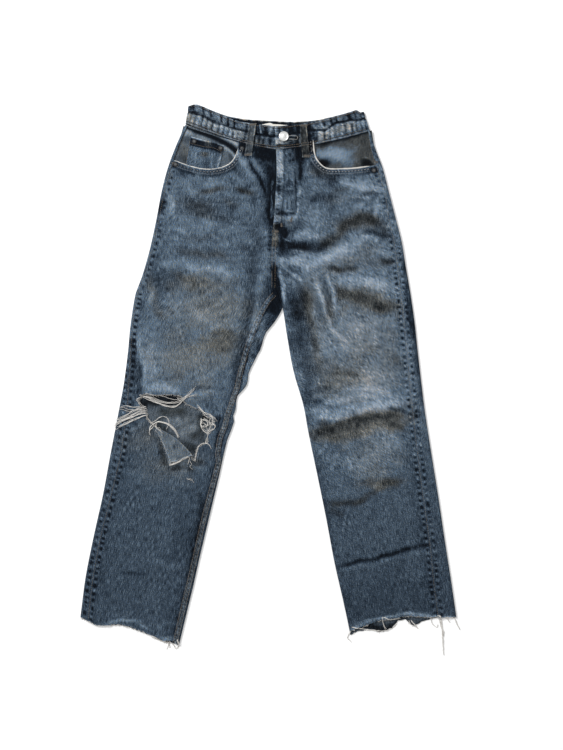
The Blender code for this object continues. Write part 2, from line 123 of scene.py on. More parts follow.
paper, tree, shader = new_material("white floor")
shader.inputs["Base Color"].default_value = (FLOOR_WHITE, FLOOR_WHITE, FLOOR_WHITE, 1)
shader.inputs["Roughness"].default_value = 1.0
shader.inputs["Specular IOR Level"].default_value = 0.0
path = add_node(tree, "LightPath")
seen = calc(tree, "MAXIMUM", path.outputs["Is Camera Ray"], path.outputs["Is Glossy Ray"])
seen = calc(tree, "MAXIMUM", seen, path.outputs["Is Transmission Ray"])
lift = calc(tree, "MULTIPLY", seen, 1.0 - FLOOR_WHITE + FLOOR_LIFT)
shader.inputs["Emission Color"].default_value = (1, 1, 1, 1)
tree.links.new(lift, shader.inputs["Emission Strength"])
floor_mesh.materials.append(paper)

# %% Light
SKY = 0.46
LAMP_AT = Vector((-2.2, 1.9, 2.9))
LAMP_SIZE = 1.6
LAMP_POWER = 175.0
world = bpy.data.worlds.new("pale sky")
world.use_nodes = True
background = world.node_tree.nodes["Background"]
background.inputs["Color"].default_value = (1, 1, 1, 1)
path = add_node(world.node_tree, "LightPath")
seen = calc(world.node_tree, "MAXIMUM", path.outputs["Is Camera Ray"], path.outputs["Is Glossy Ray"])
sky_level = calc(world.node_tree, "MULTIPLY_ADD", seen, 1.0 - SKY, SKY)
world.node_tree.links.new(sky_level, background.inputs["Strength"])
bpy.context.scene.world = world

lamp_data = bpy.data.lights.new("key lamp", "AREA")
lamp_data.size = LAMP_SIZE
lamp_data.energy = LAMP_POWER
lamp = bpy.data.objects.new("key lamp", lamp_data)
bpy.context.scene.collection.objects.link(lamp)
lamp.location = LAMP_AT
lamp.rotation_euler = (-LAMP_AT).to_track_quat("-Z", "Y").to_euler()

# %% [markdown]
# ## The shape of the jeans
# A pattern cutter would draw each panel flat and sew the panels into two tubes.  Here each half
# is described by sections from the waist seam (0) to the hem (16).  A section names the two ends
# of the flattened tube, how far in from them the outseam and the inseam lie on top, whether the
# inner end is a fold or the centre seam, and how high the underside lies.  Points on a panel are
# then read from its section: round the side folds as arcs, and flat between them.

# %% Sections of the two halves, in millimetres
SECTION_COLUMNS = (
    "outer_x", "outer_y", "inner_x", "inner_y", "outseam", "inseam", "fold", "lift", "bow"
)
RIGHT = np.array([
    (-160, 482, 14.0, 438.0, 4.0, 0, 0, 1.4, 4.5),
    (-178, 442, 15.5, 397.5, 5.0, 0, 0, 1.4, 3.0),
    (-194, 399, 14.0, 355.0, 6.0, 0, 0, 1.4, 1.0),
    (-206, 353, 11.0, 310.5, 5.0, 0, 0, 1.4, 0),
    (-217, 295, 7.0, 260.5, 4.0, 0, 0, 1.4, 0),
    (-229, 241, 5.0, 218.0, 3.5, 0, 0, 1.4, 0),
    (-244, 189, 15.5, 167.0, 3.5, 6, 1, 0.7, 0),
    (-256, 158, 27.0, 129.5, 3.5, 30, 1, 0, 0),
    (-266, 96, -12.0, 66.0, 3.5, 30, 1, 0, 0),
    (-271, 44, -34.0, 8.0, 5.0, 22, 1, 0, 0),
    (-279, -17, -61.0, -58.0, 9.0, 7, 1, 0, 0),
    (-289, -71, -74.0, -112.0, 15.0, 7, 1, 0, 0),
    (-304, -149, -93.0, -193.0, 19.0, 10, 1, 0, 0),
    (-319, -230, -113.0, -276.0, 15.0, 12, 1, 0, 0),
    (-337, -311, -133.0, -359.0, 13.0, 11, 1, 0, 0),
    (-353, -392, -153.0, -440.0, 14.0, 11, 1, 0, 0),
    (-362, -465, -172.0, -519.0, 15.0, 10, 1, 0, 2.0),
])
LEFT = np.array([
    (195, 473, 14.0, 438.0, 3.5, 0, 0, 1.4, 5.5),
    (206, 436, 15.5, 397.5, 8.0, 0, 0, 1.4, 3.0),
    (220, 399, 14.0, 355.0, 10.0, 0, 0, 1.4, 1.0),
    (232, 353, 11.0, 310.5, 7.0, 0, 0, 1.4, 0),
    (245, 303, 7.0, 260.5, 13.0, 0, 0, 1.4, 0),
    (257, 255, 5.0, 218.0, 14.0, 0, 0, 1.4, 0),
    (265, 207, 15.5, 167.0, 15.5, 0, 1, 0.7, 0),
    (273, 162, 27.0, 129.5, 18.0, 0, 1, 0, 0),
    (282, 100, 36.0, 73.0, 20.0, 0, 1, 0, 0),
    (288, 44, 48.0, 8.0, 20.5, 0, 1, 0, 0),
    (295, -17, 67.0, -58.0, 22.0, 0, 1, 0, 0),
    (302, -73, 77.0, -112.0, 23.0, 0, 1, 0, 0),
    (314, -151, 94.0, -193.0, 26.0, 0, 1, 0, 0),
    (327, -232, 111.0, -276.0, 28.5, 0, 1, 0, 0),
    (340, -319, 127.0, -361.0, 29.0, 0, 1, 0, 0),
    (352, -396, 144.0, -436.0, 33.0, 0, 1, 0, 0),
    (362, -465, 157.0, -496.0, 34.0, 0, 1, 0, -9.0),
])
CROTCH, APEX, HEM = 6, 7, 16
# Small bumps of the inner edge, where the cloth kinks over the knee: section, then mm outward
EDGE_BUMPS = {
    -1.0: [
        (7.5, 7.75, 7.9, 8.1, 8.3, 8.45, 8.7, 8.9, 9.1, 9.25, 9.4, 9.5, 9.6, 9.73, 9.88, 10.05, 10.2, 10.4,
         10.6, 10.9, 11.2, 11.6, 12, 13, 14, 14.6),
        (0, -2, 0, 3, 4, 2, 0, -2, -2, 1.5, 3.5, 2, -1, -5, -3.5, -0.5, 0.5, -1, 3, 1, -2.2, -2.4, -1.7, -1.6,
         -1.3, 0),
    ],
    1.0: [(0, HEM), (0, 0)],
}
BUMP_REACH = 16.0 * MM
SEAM_GAP = 0.3 * MM
DENIM = 1.1 * MM
TUBE = 5.8 * MM
SEAT_LIFT = DENIM + SEAM_GAP
FOLD_WINDOW = 13 * MM


def smoothstep(low, high, x):
    t = np.clip((x - low) / (high - low), 0.0, 1.0)
    return t * t * (3 - 2 * t)


def bell(away, width):
    """1 on a line, falling softly to nothing at about twice the width away from it."""
    return np.exp(-((away / width) ** 2))


def beats(turns):
    """A wave between 0 and 1 that comes round once a turn."""
    return 0.5 + 0.5 * np.sin(2 * math.pi * turns)


def cos_sin(degrees):
    return math.cos(math.radians(degrees)), math.sin(math.radians(degrees))


def catmull(points, t):
    """Points on the smooth curve through the given ones, at positions t counted in points."""
    points = np.asarray(points, float)
    last = len(points) - 1
    i = np.clip(np.floor(t).astype(int), 0, last - 1)
    f = (t - i)[..., None]
    p0, p1 = points[np.maximum(i - 1, 0)], points[i]
    p2, p3 = points[i + 1], points[np.minimum(i + 2, last)]
    bend = (2 * f**3 - 3 * f**2 + 1) * p1 + (3 * f**2 - 2 * f**3) * p2
    bend += (f**3 - 2 * f**2 + f) * (p2 - p0) / 2 + (f**3 - f**2) * (p3 - p1) / 2
    return np.where((f < 0) | (f > 1), p1 + f * (p2 - p1), bend)


class Sections:
    """Sections at the given rows: one number or one point in plan for each row, in metres."""

    def __init__(self, table, v):
        v = np.atleast_1d(np.asarray(v, float))
        rows = catmull(table, v)
        # Between the crotch and the apex the two legs share one straight edge.
        straight = (v > CROTCH) & (v < APEX)
        blend = (v[straight] - CROTCH)[:, None]
        rows[straight] = table[CROTCH] + blend * (table[APEX] - table[CROTCH])
        named = dict(zip(SECTION_COLUMNS, rows.T))
        self.v = v
        self.side = 1.0 if table[0][0] > 0 else -1.0
        self.outer = np.stack([named["outer_x"], named["outer_y"]], -1) * MM
        self.inner = np.stack([named["inner_x"], named["inner_y"]], -1) * MM
        gap = self.inner - self.outer
        full = np.linalg.norm(gap, axis=1)
        self.across = gap / full[:, None]
        self.width = full - SEAM_GAP / 2
        self.down = self.side * np.stack([-self.across[:, 1], self.across[:, 0]], -1)
        self.bow = named["bow"] * MM
        self.lift = np.clip(named["lift"] * MM, 0, SEAT_LIFT)
        self.radius = TUBE / 2
        self.inner_radius = self.radius * np.clip(named["fold"], 0, 1)
        self.outer_arc = math.pi / 2 * self.radius
        self.inner_arc = math.pi / 2 * self.inner_radius
        self.flat = self.width - self.radius - self.inner_radius
        self.half_round = self.outer_arc + self.flat + self.inner_arc
        self.outseam = self.outer_arc + named["outseam"] * MM - self.radius
        inseam = named["inseam"] * MM
        safe = np.maximum(self.inner_radius, 1e-6)
        on_fold = self.inner_radius * np.arccos(np.clip(1 - inseam / safe, -1, 1))
        past = self.inner_arc + inseam - self.inner_radius
        back = np.where(inseam > self.inner_radius, past, on_fold)
        self.inseam_back = np.where(inseam > 0, back, 0.0)

    def plan(self, a):
        """Points in plan, a metres in from the outer end.  a is rows by columns."""
        share = a / self.width[:, None]
        out = self.outer[:, None] + a[..., None] * self.across[:, None]
        return out + self.down[:, None] * (self.bow[:, None] * 4 * share * (1 - share))[..., None]

    def run_in(self, along):
        """How far in plan each position round the tube lies from the outer end, and which zone
        it is in: the outer fold, the inner fold, or past the inner fold."""
        col = lambda values: values[:, None]
        run = np.abs(along)
        fold_end = col(self.outer_arc + self.flat)
        radius_in = np.maximum(col(self.inner_radius), 1e-7)
        turn_in = (run - fold_end) / radius_in
        has_fold = col(self.inner_radius) > 1e-6
        in_outer = run < self.outer_arc
        in_inner = (run > fold_end) & has_fold & (turn_in <= math.pi)
        beyond = (run > fold_end) & has_fold & (turn_in > math.pi)
        a = self.radius + run - self.outer_arc
        a = np.where(in_outer, self.radius * (1 - np.cos(run / self.radius)), a)
        a = np.where(in_inner, col(self.width) - radius_in + radius_in * np.sin(turn_in), a)
        a = np.where(beyond, col(self.width) - radius_in - (turn_in - math.pi) * radius_in, a)
        return a, in_outer, in_inner, beyond, turn_in

    def tube(self, along):
        """Points of the tube's outer face, and how far creases reach there.  along runs round
        the tube from the outer edge: over the top where positive, under the bottom where
        negative.  Creases fade out where the cloth turns round a fold."""
        col = lambda values: values[:, None]
        a, in_outer, in_inner, beyond, turn_in = self.run_in(along)
        upper = np.where(along >= 0, 1.0, -1.0)
        on_top = np.where(beyond, -upper, upper) > 0
        window = smoothstep(self.radius, self.radius + FOLD_WINDOW, a)
        fold_in = col(self.inner_radius)
        inner_window = smoothstep(fold_in, fold_in + FOLD_WINDOW, col(self.width) - a)
        window = window * np.where(fold_in > 1e-6, inner_window, 1.0)
        low = col(self.lift)
        z = np.where(on_top, low + TUBE, low + 0 * along)
        turn_out = np.abs(along) / self.radius
        z = np.where(in_outer, low + self.radius * (1 + upper * np.sin(turn_out)), z)
        dip = fold_in * (1 - np.cos(turn_in))
        z = np.where(in_inner & (upper > 0), low + TUBE - dip, z)
        z = np.where(in_inner & (upper < 0), low + dip, z)
        bump = np.interp(self.v, *EDGE_BUMPS[self.side]) * MM
        bump = col(bump) * bell(col(self.width) - a, BUMP_REACH)
        plan = self.plan(a) + bump[..., None] * self.across[:, None]
        points = np.concatenate([plan, z[..., None]], -1)
        return points, window * on_top, window * ~on_top

    def front_columns(self, shares):
        end = self.half_round - self.inseam_back - SEAM_GAP / 2
        return self.columns(self.outseam + SEAM_GAP / 2, end, shares)

    def back_columns(self, shares):
        end = self.half_round + self.inseam_back - SEAM_GAP / 2
        return self.columns(self.outseam - SEAM_GAP / 2, -end, shares)

    def columns(self, start, end, shares):
        """Positions round the tube from start to end, four times closer on the folds."""
        fine = start[:, None] + (end - start)[:, None] * np.linspace(0, 1, 300)
        run = np.abs(fine)
        fold_end = self.outer_arc + self.flat[:, None]
        on_inner_fold = (run > fold_end) & (run < fold_end + 2 * self.inner_arc[:, None])
        weight = np.where((run < self.outer_arc) | on_inner_fold, 4.0, 1.0)
        steps = np.cumsum((weight[:, 1:] + weight[:, :-1]) / 2, axis=1)
        steps = np.pad(steps, ((0, 0), (1, 0))) / steps[:, -1:]
        row = np.arange(len(fine))
        out = np.empty((len(fine), len(shares)))
        for k, share in enumerate(shares):
            i = np.clip((steps < share).sum(1), 1, steps.shape[1] - 1)
            low, high = steps[row, i - 1], steps[row, i]
            out[:, k] = fine[row, i - 1] + (share - low) / (high - low) * (fine[row, i] - fine[row, i - 1])
        return out


LEGS = {"right": RIGHT, "left": LEFT}
for name, table in LEGS.items():
    thigh = Sections(table, [8, HEM])
    print(name, "leg, flat width in mm at the thigh and hem:", np.round(thigh.width / MM))

# %% [markdown]
# ## Curves, noise and creases
# Denim creases come from wear: each is a soft ridge that rubs pale, or a trough that keeps its
# dye.  Their paleness and darkness are also painted highlight and shade, as light would fall on
# the ridges and into the troughs.  A simulation would put them in places of its own, so each one
# has its row instead: a row gives a crease's height, its width, how much paler or darker it is,
# how brown, and the points it runs through.  Its height swells and thins along its length, so
# that no two are alike.


# %% Curves and noise
def curve(points, step=4.0):
    """Evenly spaced points along the smooth curve through the given ones."""
    points = np.asarray(points, float)
    fine = catmull(points, np.linspace(0, len(points) - 1, 24 * len(points)))
    run = np.concatenate([[0], np.cumsum(np.linalg.norm(np.diff(fine, axis=0), axis=1))])
    count = max(3, int(round(run[-1] / step)) + 1)
    even = np.linspace(0, run[-1], count)
    return np.stack([np.interp(even, run, fine[:, k]) for k in range(points.shape[1])], -1)


def nearest(x, y, line):
    """Distance from each point to a polyline, on its left positive, and how far along it."""
    x, y = np.asarray(x, float), np.asarray(y, float)
    best = np.full(x.shape, np.inf)
    signed = np.full(x.shape, np.inf)
    along = np.zeros(x.shape)
    run = 0.0
    for (ax, ay), (bx, by) in zip(line[:-1], line[1:]):
        dx, dy = bx - ax, by - ay
        length = math.hypot(dx, dy)
        t = np.clip(((x - ax) * dx + (y - ay) * dy) / length**2, 0, 1)
        px, py = x - ax - t * dx, y - ay - t * dy
        distance = np.hypot(px, py)
        closer = distance < best
        best = np.where(closer, distance, best)
        signed = np.where(closer, np.copysign(distance, dx * py - dy * px), signed)
        along = np.where(closer, run + t * length, along)
        run += length
    return signed, along, run


def beside(line, distance):
    """The line moved sideways, to its left where the distance is positive."""
    line = curve(line, 3.0)
    ahead = np.gradient(line, axis=0)
    ahead /= np.linalg.norm(ahead, axis=1)[:, None]
    return line + distance * np.stack([-ahead[:, 1], ahead[:, 0]], -1)


def noise(x, y=0.0, seed=0):
    """Smooth value noise between -1 and 1, one lump to each unit of x and y."""
    x, y = np.broadcast_arrays(np.asarray(x, float), np.asarray(y, float))
    i, j = np.floor(x), np.floor(y)
    u, v = x - i, y - j
    u, v = u * u * (3 - 2 * u), v * v * (3 - 2 * v)

    def lump(i, j):
        return np.modf(np.abs(np.sin(i * 127.1 + j * 311.7 + seed * 74.7) * 43758.5453))[0]

    low = lump(i, j) * (1 - u) + lump(i + 1, j) * u
    high = lump(i, j + 1) * (1 - u) + lump(i + 1, j + 1) * u
    return 2 * (low * (1 - v) + high * v) - 1


# %% Creases of the front: height, width, tone (fading, with painted highlight and shade), brown, and the points they run through
RIGHT_CREASES = [
    (-0.6, 14, -0.10, 0.2, [(-170, 340), (-141, 333), (-115, 320), (-89, 310)]),
    (-0.8, 5, -0.12, 0.6, [(-141, 350), (-115, 353), (-92, 358), (-74, 362)]),
    (-0.8, 5, -0.20, 1.0, [(-63, 358), (-45, 353), (-25, 350)]),
    (-0.6, 8, -0.07, 0.3, [(-92, 340), (-74, 330), (-54, 319)]),
    (-1.0, 8, -0.13, 0.6, [(-181, 245), (-150, 235), (-121, 231), (-92, 229), (-74, 220)]),
    (1.6, 11, +0.17, 0, [(-205, 214), (-180, 213), (-150, 210), (-115, 203), (-85, 195), (-55, 192)]),
    (-0.8, 10, -0.10, 0.4, [(-238, 202), (-220, 160), (-210, 125), (-196, 98)]),
    (-1.4, 10, -0.15, 0.1, [(-32, 304), (-25, 266), (-28, 220), (-35, 157), (-42, 112)]),
    (-1.2, 10, -0.15, 0.1, [(-2, 172), (-22, 135), (-40, 104), (-54, 50), (-66, 0)]),
    (1.6, 7, +0.14, 0, [(-6, 226), (-10, 191), (-17, 160), (-26, 116), (-40, 70)]),
    (-1.0, 7, -0.12, 0.2, [(-54, 246), (-45, 243), (-37, 246)]),
    (-1.6, 9, -0.16, 0, [(-15, 388), (-4, 362), (0, 330), (3, 300), (4, 286)]),
    (-1.2, 8, -0.26, 0, [(4, 425), (3, 400), (4, 375), (5, 350), (6, 325), (5, 300), (4, 286)]),
    (-0.6, 6, -0.08, 0, [(-14, 428), (-9, 408), (-6, 386), (-4, 366)]),
    (0.8, 2.4, +0.14, 0.3, [(-18, 430), (-6, 416), (3, 405), (9, 399)]),
    (1.2, 5, +0.12, 0, [(-30, 410), (-20, 398), (-10, 386), (-2, 372)]),
    (0.8, 8, +0.08, 0, [(-234, 190), (-226, 165), (-222, 140)]),
    (-0.8, 7, -0.16, 0.1, [(-262, 60), (-260, 30), (-252, 0), (-248, -30)]),
    (1.4, 7, +0.13, 0, [(-248, 90), (-244, 50), (-238, 10), (-238, -30)]),
    (-0.6, 6, -0.06, 0.4, [(-115, 84), (-92, 83), (-69, 78)]),
    (-2.4, 3.2, -0.38, 0, [(-39, 420), (-33, 405), (-27, 393), (-20, 385), (-13, 374), (-9, 360), (-6, 345)]),
    (2.2, 7, +0.22, 0, [(-60, 432), (-52, 416), (-43, 402), (-34, 388), (-26, 370)]),
    (1.2, 4, +0.10, 0, [(-39, 419), (-24, 407), (-12, 396)]),
    (-1.2, 4, -0.14, 0, [(-45, 409), (-33, 391), (-27, 381)]),
    (-0.6, 3, -0.16, 0, [(-161, 395), (-149, 390), (-138, 378)]),
    (-0.6, 3, -0.12, 0, [(-175, 394), (-164, 387), (-157, 376)]),
    (-0.9, 5, -0.20, 0.2, [(-77, 413), (-68, 402), (-56, 385)]),
    (1.0, 5, +0.12, 0, [(-98, 373), (-77, 384), (-62, 379), (-48, 369)]),
    (1.0, 7, +0.14, 0, [(-168, 378), (-157, 365), (-146, 350), (-132, 345)]),
    (0.8, 5, +0.09, 0, [(-130, 372), (-112, 366), (-92, 368)]),
    (1.2, 7, +0.16, 0, [(-192, 354), (-188, 338), (-184, 318)]),
    (-1.0, 6, -0.22, 0, [(-208, 352), (-212, 335), (-214, 310), (-218, 295)]),
    (1.0, 6, +0.10, 0, [(-196, 292), (-180, 284), (-160, 276), (-150, 262)]),
    (0.8, 5, +0.08, 0, [(-130, 300), (-110, 291), (-85, 288)]),
    (-0.7, 6, -0.09, 0.2, [(-150, 312), (-120, 306), (-80, 300), (-60, 305)]),
    (-0.8, 6, -0.10, 0.3, [(-170, 268), (-140, 262), (-110, 268), (-90, 262)]),
    (0.8, 7, +0.08, 0, [(-150, 128), (-125, 110), (-100, 95), (-62, 86)]),
    (-0.6, 8, -0.06, 0.4, [(-190, 196), (-160, 188), (-130, 176)]),
    (1.4, 6, +0.14, 0, [(-236, -28), (-214, -30), (-195, -25), (-176, -28)]),
    (1.0, 5, +0.12, 0, [(-160, -38), (-135, -36), (-112, -34), (-92, -28)]),
    (-0.9, 4, -0.12, 0, [(-152, -20), (-128, -26), (-104, -24)]),
    # The next three rows paint the deep shadow of the crotch.
    (-1.6, 4, -0.60, 0, [(6, 217), (9, 200), (13, 182), (15, 168)]),
    (-1.6, 9, -0.80, 0, [(16, 176), (17, 152), (13, 131), (5, 112)]),
    (-0.8, 7, -0.34, 0, [(24, 134), (13, 112), (3, 98), (-6, 82)]),
    (-1.0, 7, -0.18, 0, [(-14, 72), (-20, 50), (-30, 28)]),
    (0.8, 4, +0.09, 0, [(-90, -60), (-88, -90), (-92, -125)]),
    (-0.9, 5, -0.14, 0, [(-98, -70), (-96, -100), (-101, -140)]),
    (-0.9, 7, -0.12, 0.1, [(-133, -215), (-128, -255), (-136, -300), (-145, -350), (-152, -400)]),
    (-0.8, 3, -0.16, 0, [(-290, -378), (-270, -381), (-250, -384), (-228, -382)]),
    (0.9, 7, +0.06, 0, [(-240, -345), (-210, -362), (-180, -368), (-150, -365)]),
]
LEFT_CREASES = [
    (-3.0, 9, -0.34, 0.3, [(22, 252), (45, 251), (75, 246), (104, 249), (124, 259)]),
    (-0.6, 8, -0.20, 0, [(24, 257), (45, 251), (62, 248), (80, 244)]),
    (-2.2, 10, -0.24, 0.7, [(108, 252), (130, 266), (150, 289), (175, 301), (200, 301)]),
    (-1.6, 10, -0.20, 0.6, [(178, 303), (205, 296), (222, 280), (236, 262)]),
    (2.8, 12, +0.27, 0, [(18, 224), (50, 218), (80, 211), (112, 219), (140, 234), (165, 247)]),
    (1.6, 8, +0.15, 0, [(160, 248), (180, 262), (198, 262), (214, 252)]),
    (-1.8, 6, -0.28, 0.6, [(109, 206), (138, 203), (160, 204), (182, 210)]),
    (2.2, 3.2, +0.30, 0, [(106, 212), (110, 196), (119, 177), (125, 158), (129, 138), (128, 124)]),
    (-1.2, 4, -0.08, 0.3, [(112, 176), (119, 156), (122, 132)]),
    (-1.0, 4, -0.12, 0.5, [(128, 178), (134, 160), (137, 138)]),
    (1.6, 2.6, +0.28, 0, [(19, 222), (30, 208), (44, 196), (60, 183)]),
    (-1.2, 3, -0.16, 0, [(36, 213), (50, 202), (68, 189)]),
    (2.6, 4.2, +0.33, 0, [(92, 190), (99, 163), (106, 137), (114, 112), (124, 88), (138, 71), (156, 58)]),
    (-1.2, 4, -0.13, 0.4, [(106, 182), (110, 160), (114, 138)]),
    (-1.7, 12, -0.20, 0.6, [(132, 172), (155, 155), (181, 145), (213, 133), (242, 127)]),
    (2.2, 9, +0.26, 0, [(124, 184), (150, 181), (180, 180), (212, 177), (246, 168)]),
    (1.2, 5, +0.12, 0, [(240, 168), (246, 150), (246, 135)]),
    (1.2, 4, +0.14, 0, [(207, 238), (225, 231), (242, 233)]),
    (-1.4, 6, -0.22, 0.5, [(212, 224), (228, 219), (246, 221)]),
    (-1.4, 5, -0.20, 0.1, [(28, 201), (42, 191), (60, 175)]),
    (-1.0, 9, -0.12, 0.6, [(71, 172), (80, 126), (86, 79), (92, 39), (96, 7)]),
    (-0.8, 9, -0.14, 0.6, [(115, 149), (120, 120), (123, 102)]),
    (2.6, 9, +0.26, 0, [(88, -88), (115, -83), (140, -77), (168, -68), (200, -64), (235, -56), (264, -50)]),
    (1.8, 8, +0.16, 0, [(172, -28), (196, -26), (220, -32), (248, -42)]),
    (1.0, 9, +0.10, 0, [(122, -58), (142, -52), (160, -44)]),
    (-2.4, 7, -0.20, 0.5, [(80, -112), (112, -104), (145, -92), (180, -85), (215, -80), (256, -76)]),
    (-1.8, 9, -0.22, 0.3, [(76, -120), (96, -116), (118, -113), (136, -116)]),
    (-1.0, 6, -0.14, 0.3, [(228, -92), (246, -96), (262, -104)]),
    (-0.8, 6, -0.12, 0.3, [(120, -2), (144, 4), (167, -2)]),
    (1.0, 5, +0.08, 0, [(92, 7), (106, -31), (118, -45)]),
    (-0.7, 6, -0.10, 0.3, [(242, 39), (254, 21), (262, 7)]),
    (-1.0, 14, -0.05, 0.8, [(107, -118), (149, -102), (198, -89), (231, -84), (254, -102)]),
    (0.9, 6, +0.10, 0, [(176, -96), (186, -120), (192, -150), (186, -176)]),
    (1.0, 6, +0.12, 0, [(208, -98), (226, -112), (246, -132), (258, -150)]),
    (0.7, 4, +0.07, 0, [(150, -150), (158, -170), (172, -188)]),
    (0.7, 4, +0.07, 0, [(224, -100), (263, -140), (273, -156)]),
    (-1.0, 6, -0.14, 0.7,
     [(107, -250), (136, -246), (179, -243), (195, -231), (218, -213), (237, -207), (270, -202)]),
    (-0.8, 8, -0.10, 0.3, [(112, -262), (132, -266), (150, -262)]),
    (0.8, 6, +0.07, 0, [(124, -196), (134, -208), (150, -220)]),
    (-1.8, 4, -0.28, 0.1, [(133, -371), (165, -362), (205, -354), (244, -343), (276, -334), (322, -325)]),
    (1.0, 5, +0.07, 0, [(136, -379), (172, -371), (211, -362), (250, -352), (322, -334)]),
    (-1.2, 7, -0.22, 0, [(62, 413), (63, 393), (59, 371), (66, 358)]),
    (-1.6, 8, -0.28, 0, [(30, 290), (34, 278), (44, 272), (56, 282)]),
    (1.6, 9, +0.22, 0, [(142, 371), (162, 364), (186, 362), (208, 362), (224, 356)]),
    (-1.0, 5, -0.14, 0.4, [(120, 352), (145, 356), (162, 358)]),
    (1.0, 5, +0.13, 0, [(140, 344), (160, 344), (182, 340), (206, 338)]),
    (1.0, 6, +0.13, 0, [(206, 326), (216, 316), (228, 300)]),
    (-1.2, 5, -0.18, 0.2, [(159, 336), (180, 344), (195, 350), (216, 352)]),
    (-1.0, 8, -0.14, 0.1, [(69, 338), (92, 342), (112, 340), (122, 322), (116, 306)]),
    (0.8, 4, +0.10, 0, [(189, 381), (196, 385), (205, 390)]),
    (-0.8, 4, -0.18, 0, [(198, 381), (202, 373), (207, 366)]),
    (-1.0, 5, -0.18, 0, [(80, 404), (92, 390), (106, 380), (128, 374)]),
    (1.0, 7, +0.12, 0, [(66, 278), (84, 270), (104, 268)]),
    (0.8, 5, +0.08, 0, [(76, 318), (92, 312), (106, 316)]),
    (0.9, 7, +0.12, 0, [(150, 98), (170, 92), (190, 96), (206, 104)]),
    (0.9, 7, +0.11, 0, [(92, 78), (104, 64), (112, 44), (126, 30)]),
    (0.8, 6, +0.08, 0, [(148, -4), (176, -10), (204, -4), (216, -10)]),
    (0.8, 5, +0.08, 0, [(218, 56), (238, 50), (252, 44)]),
    # Painted deep shadow of the crotch.
    (-1.4, 6, -0.75, 0, [(10, 222), (14, 192), (19, 168), (24, 148), (27, 132)]),
    (-1.0, 6, -0.24, 0, [(262, 230), (268, 190), (272, 150), (276, 110), (284, 60)]),
    (-0.6, 8, -0.15, 0, [(277, 120), (283, 60), (290, 0), (296, -50)]),
    (-0.6, 7, -0.10, 0, [(90, -150), (96, -200), (106, -250), (115, -300), (125, -350)]),
    (-0.5, 4, -0.12, 0, [(258, 228), (263, 180), (268, 120), (271, 60)]),
]
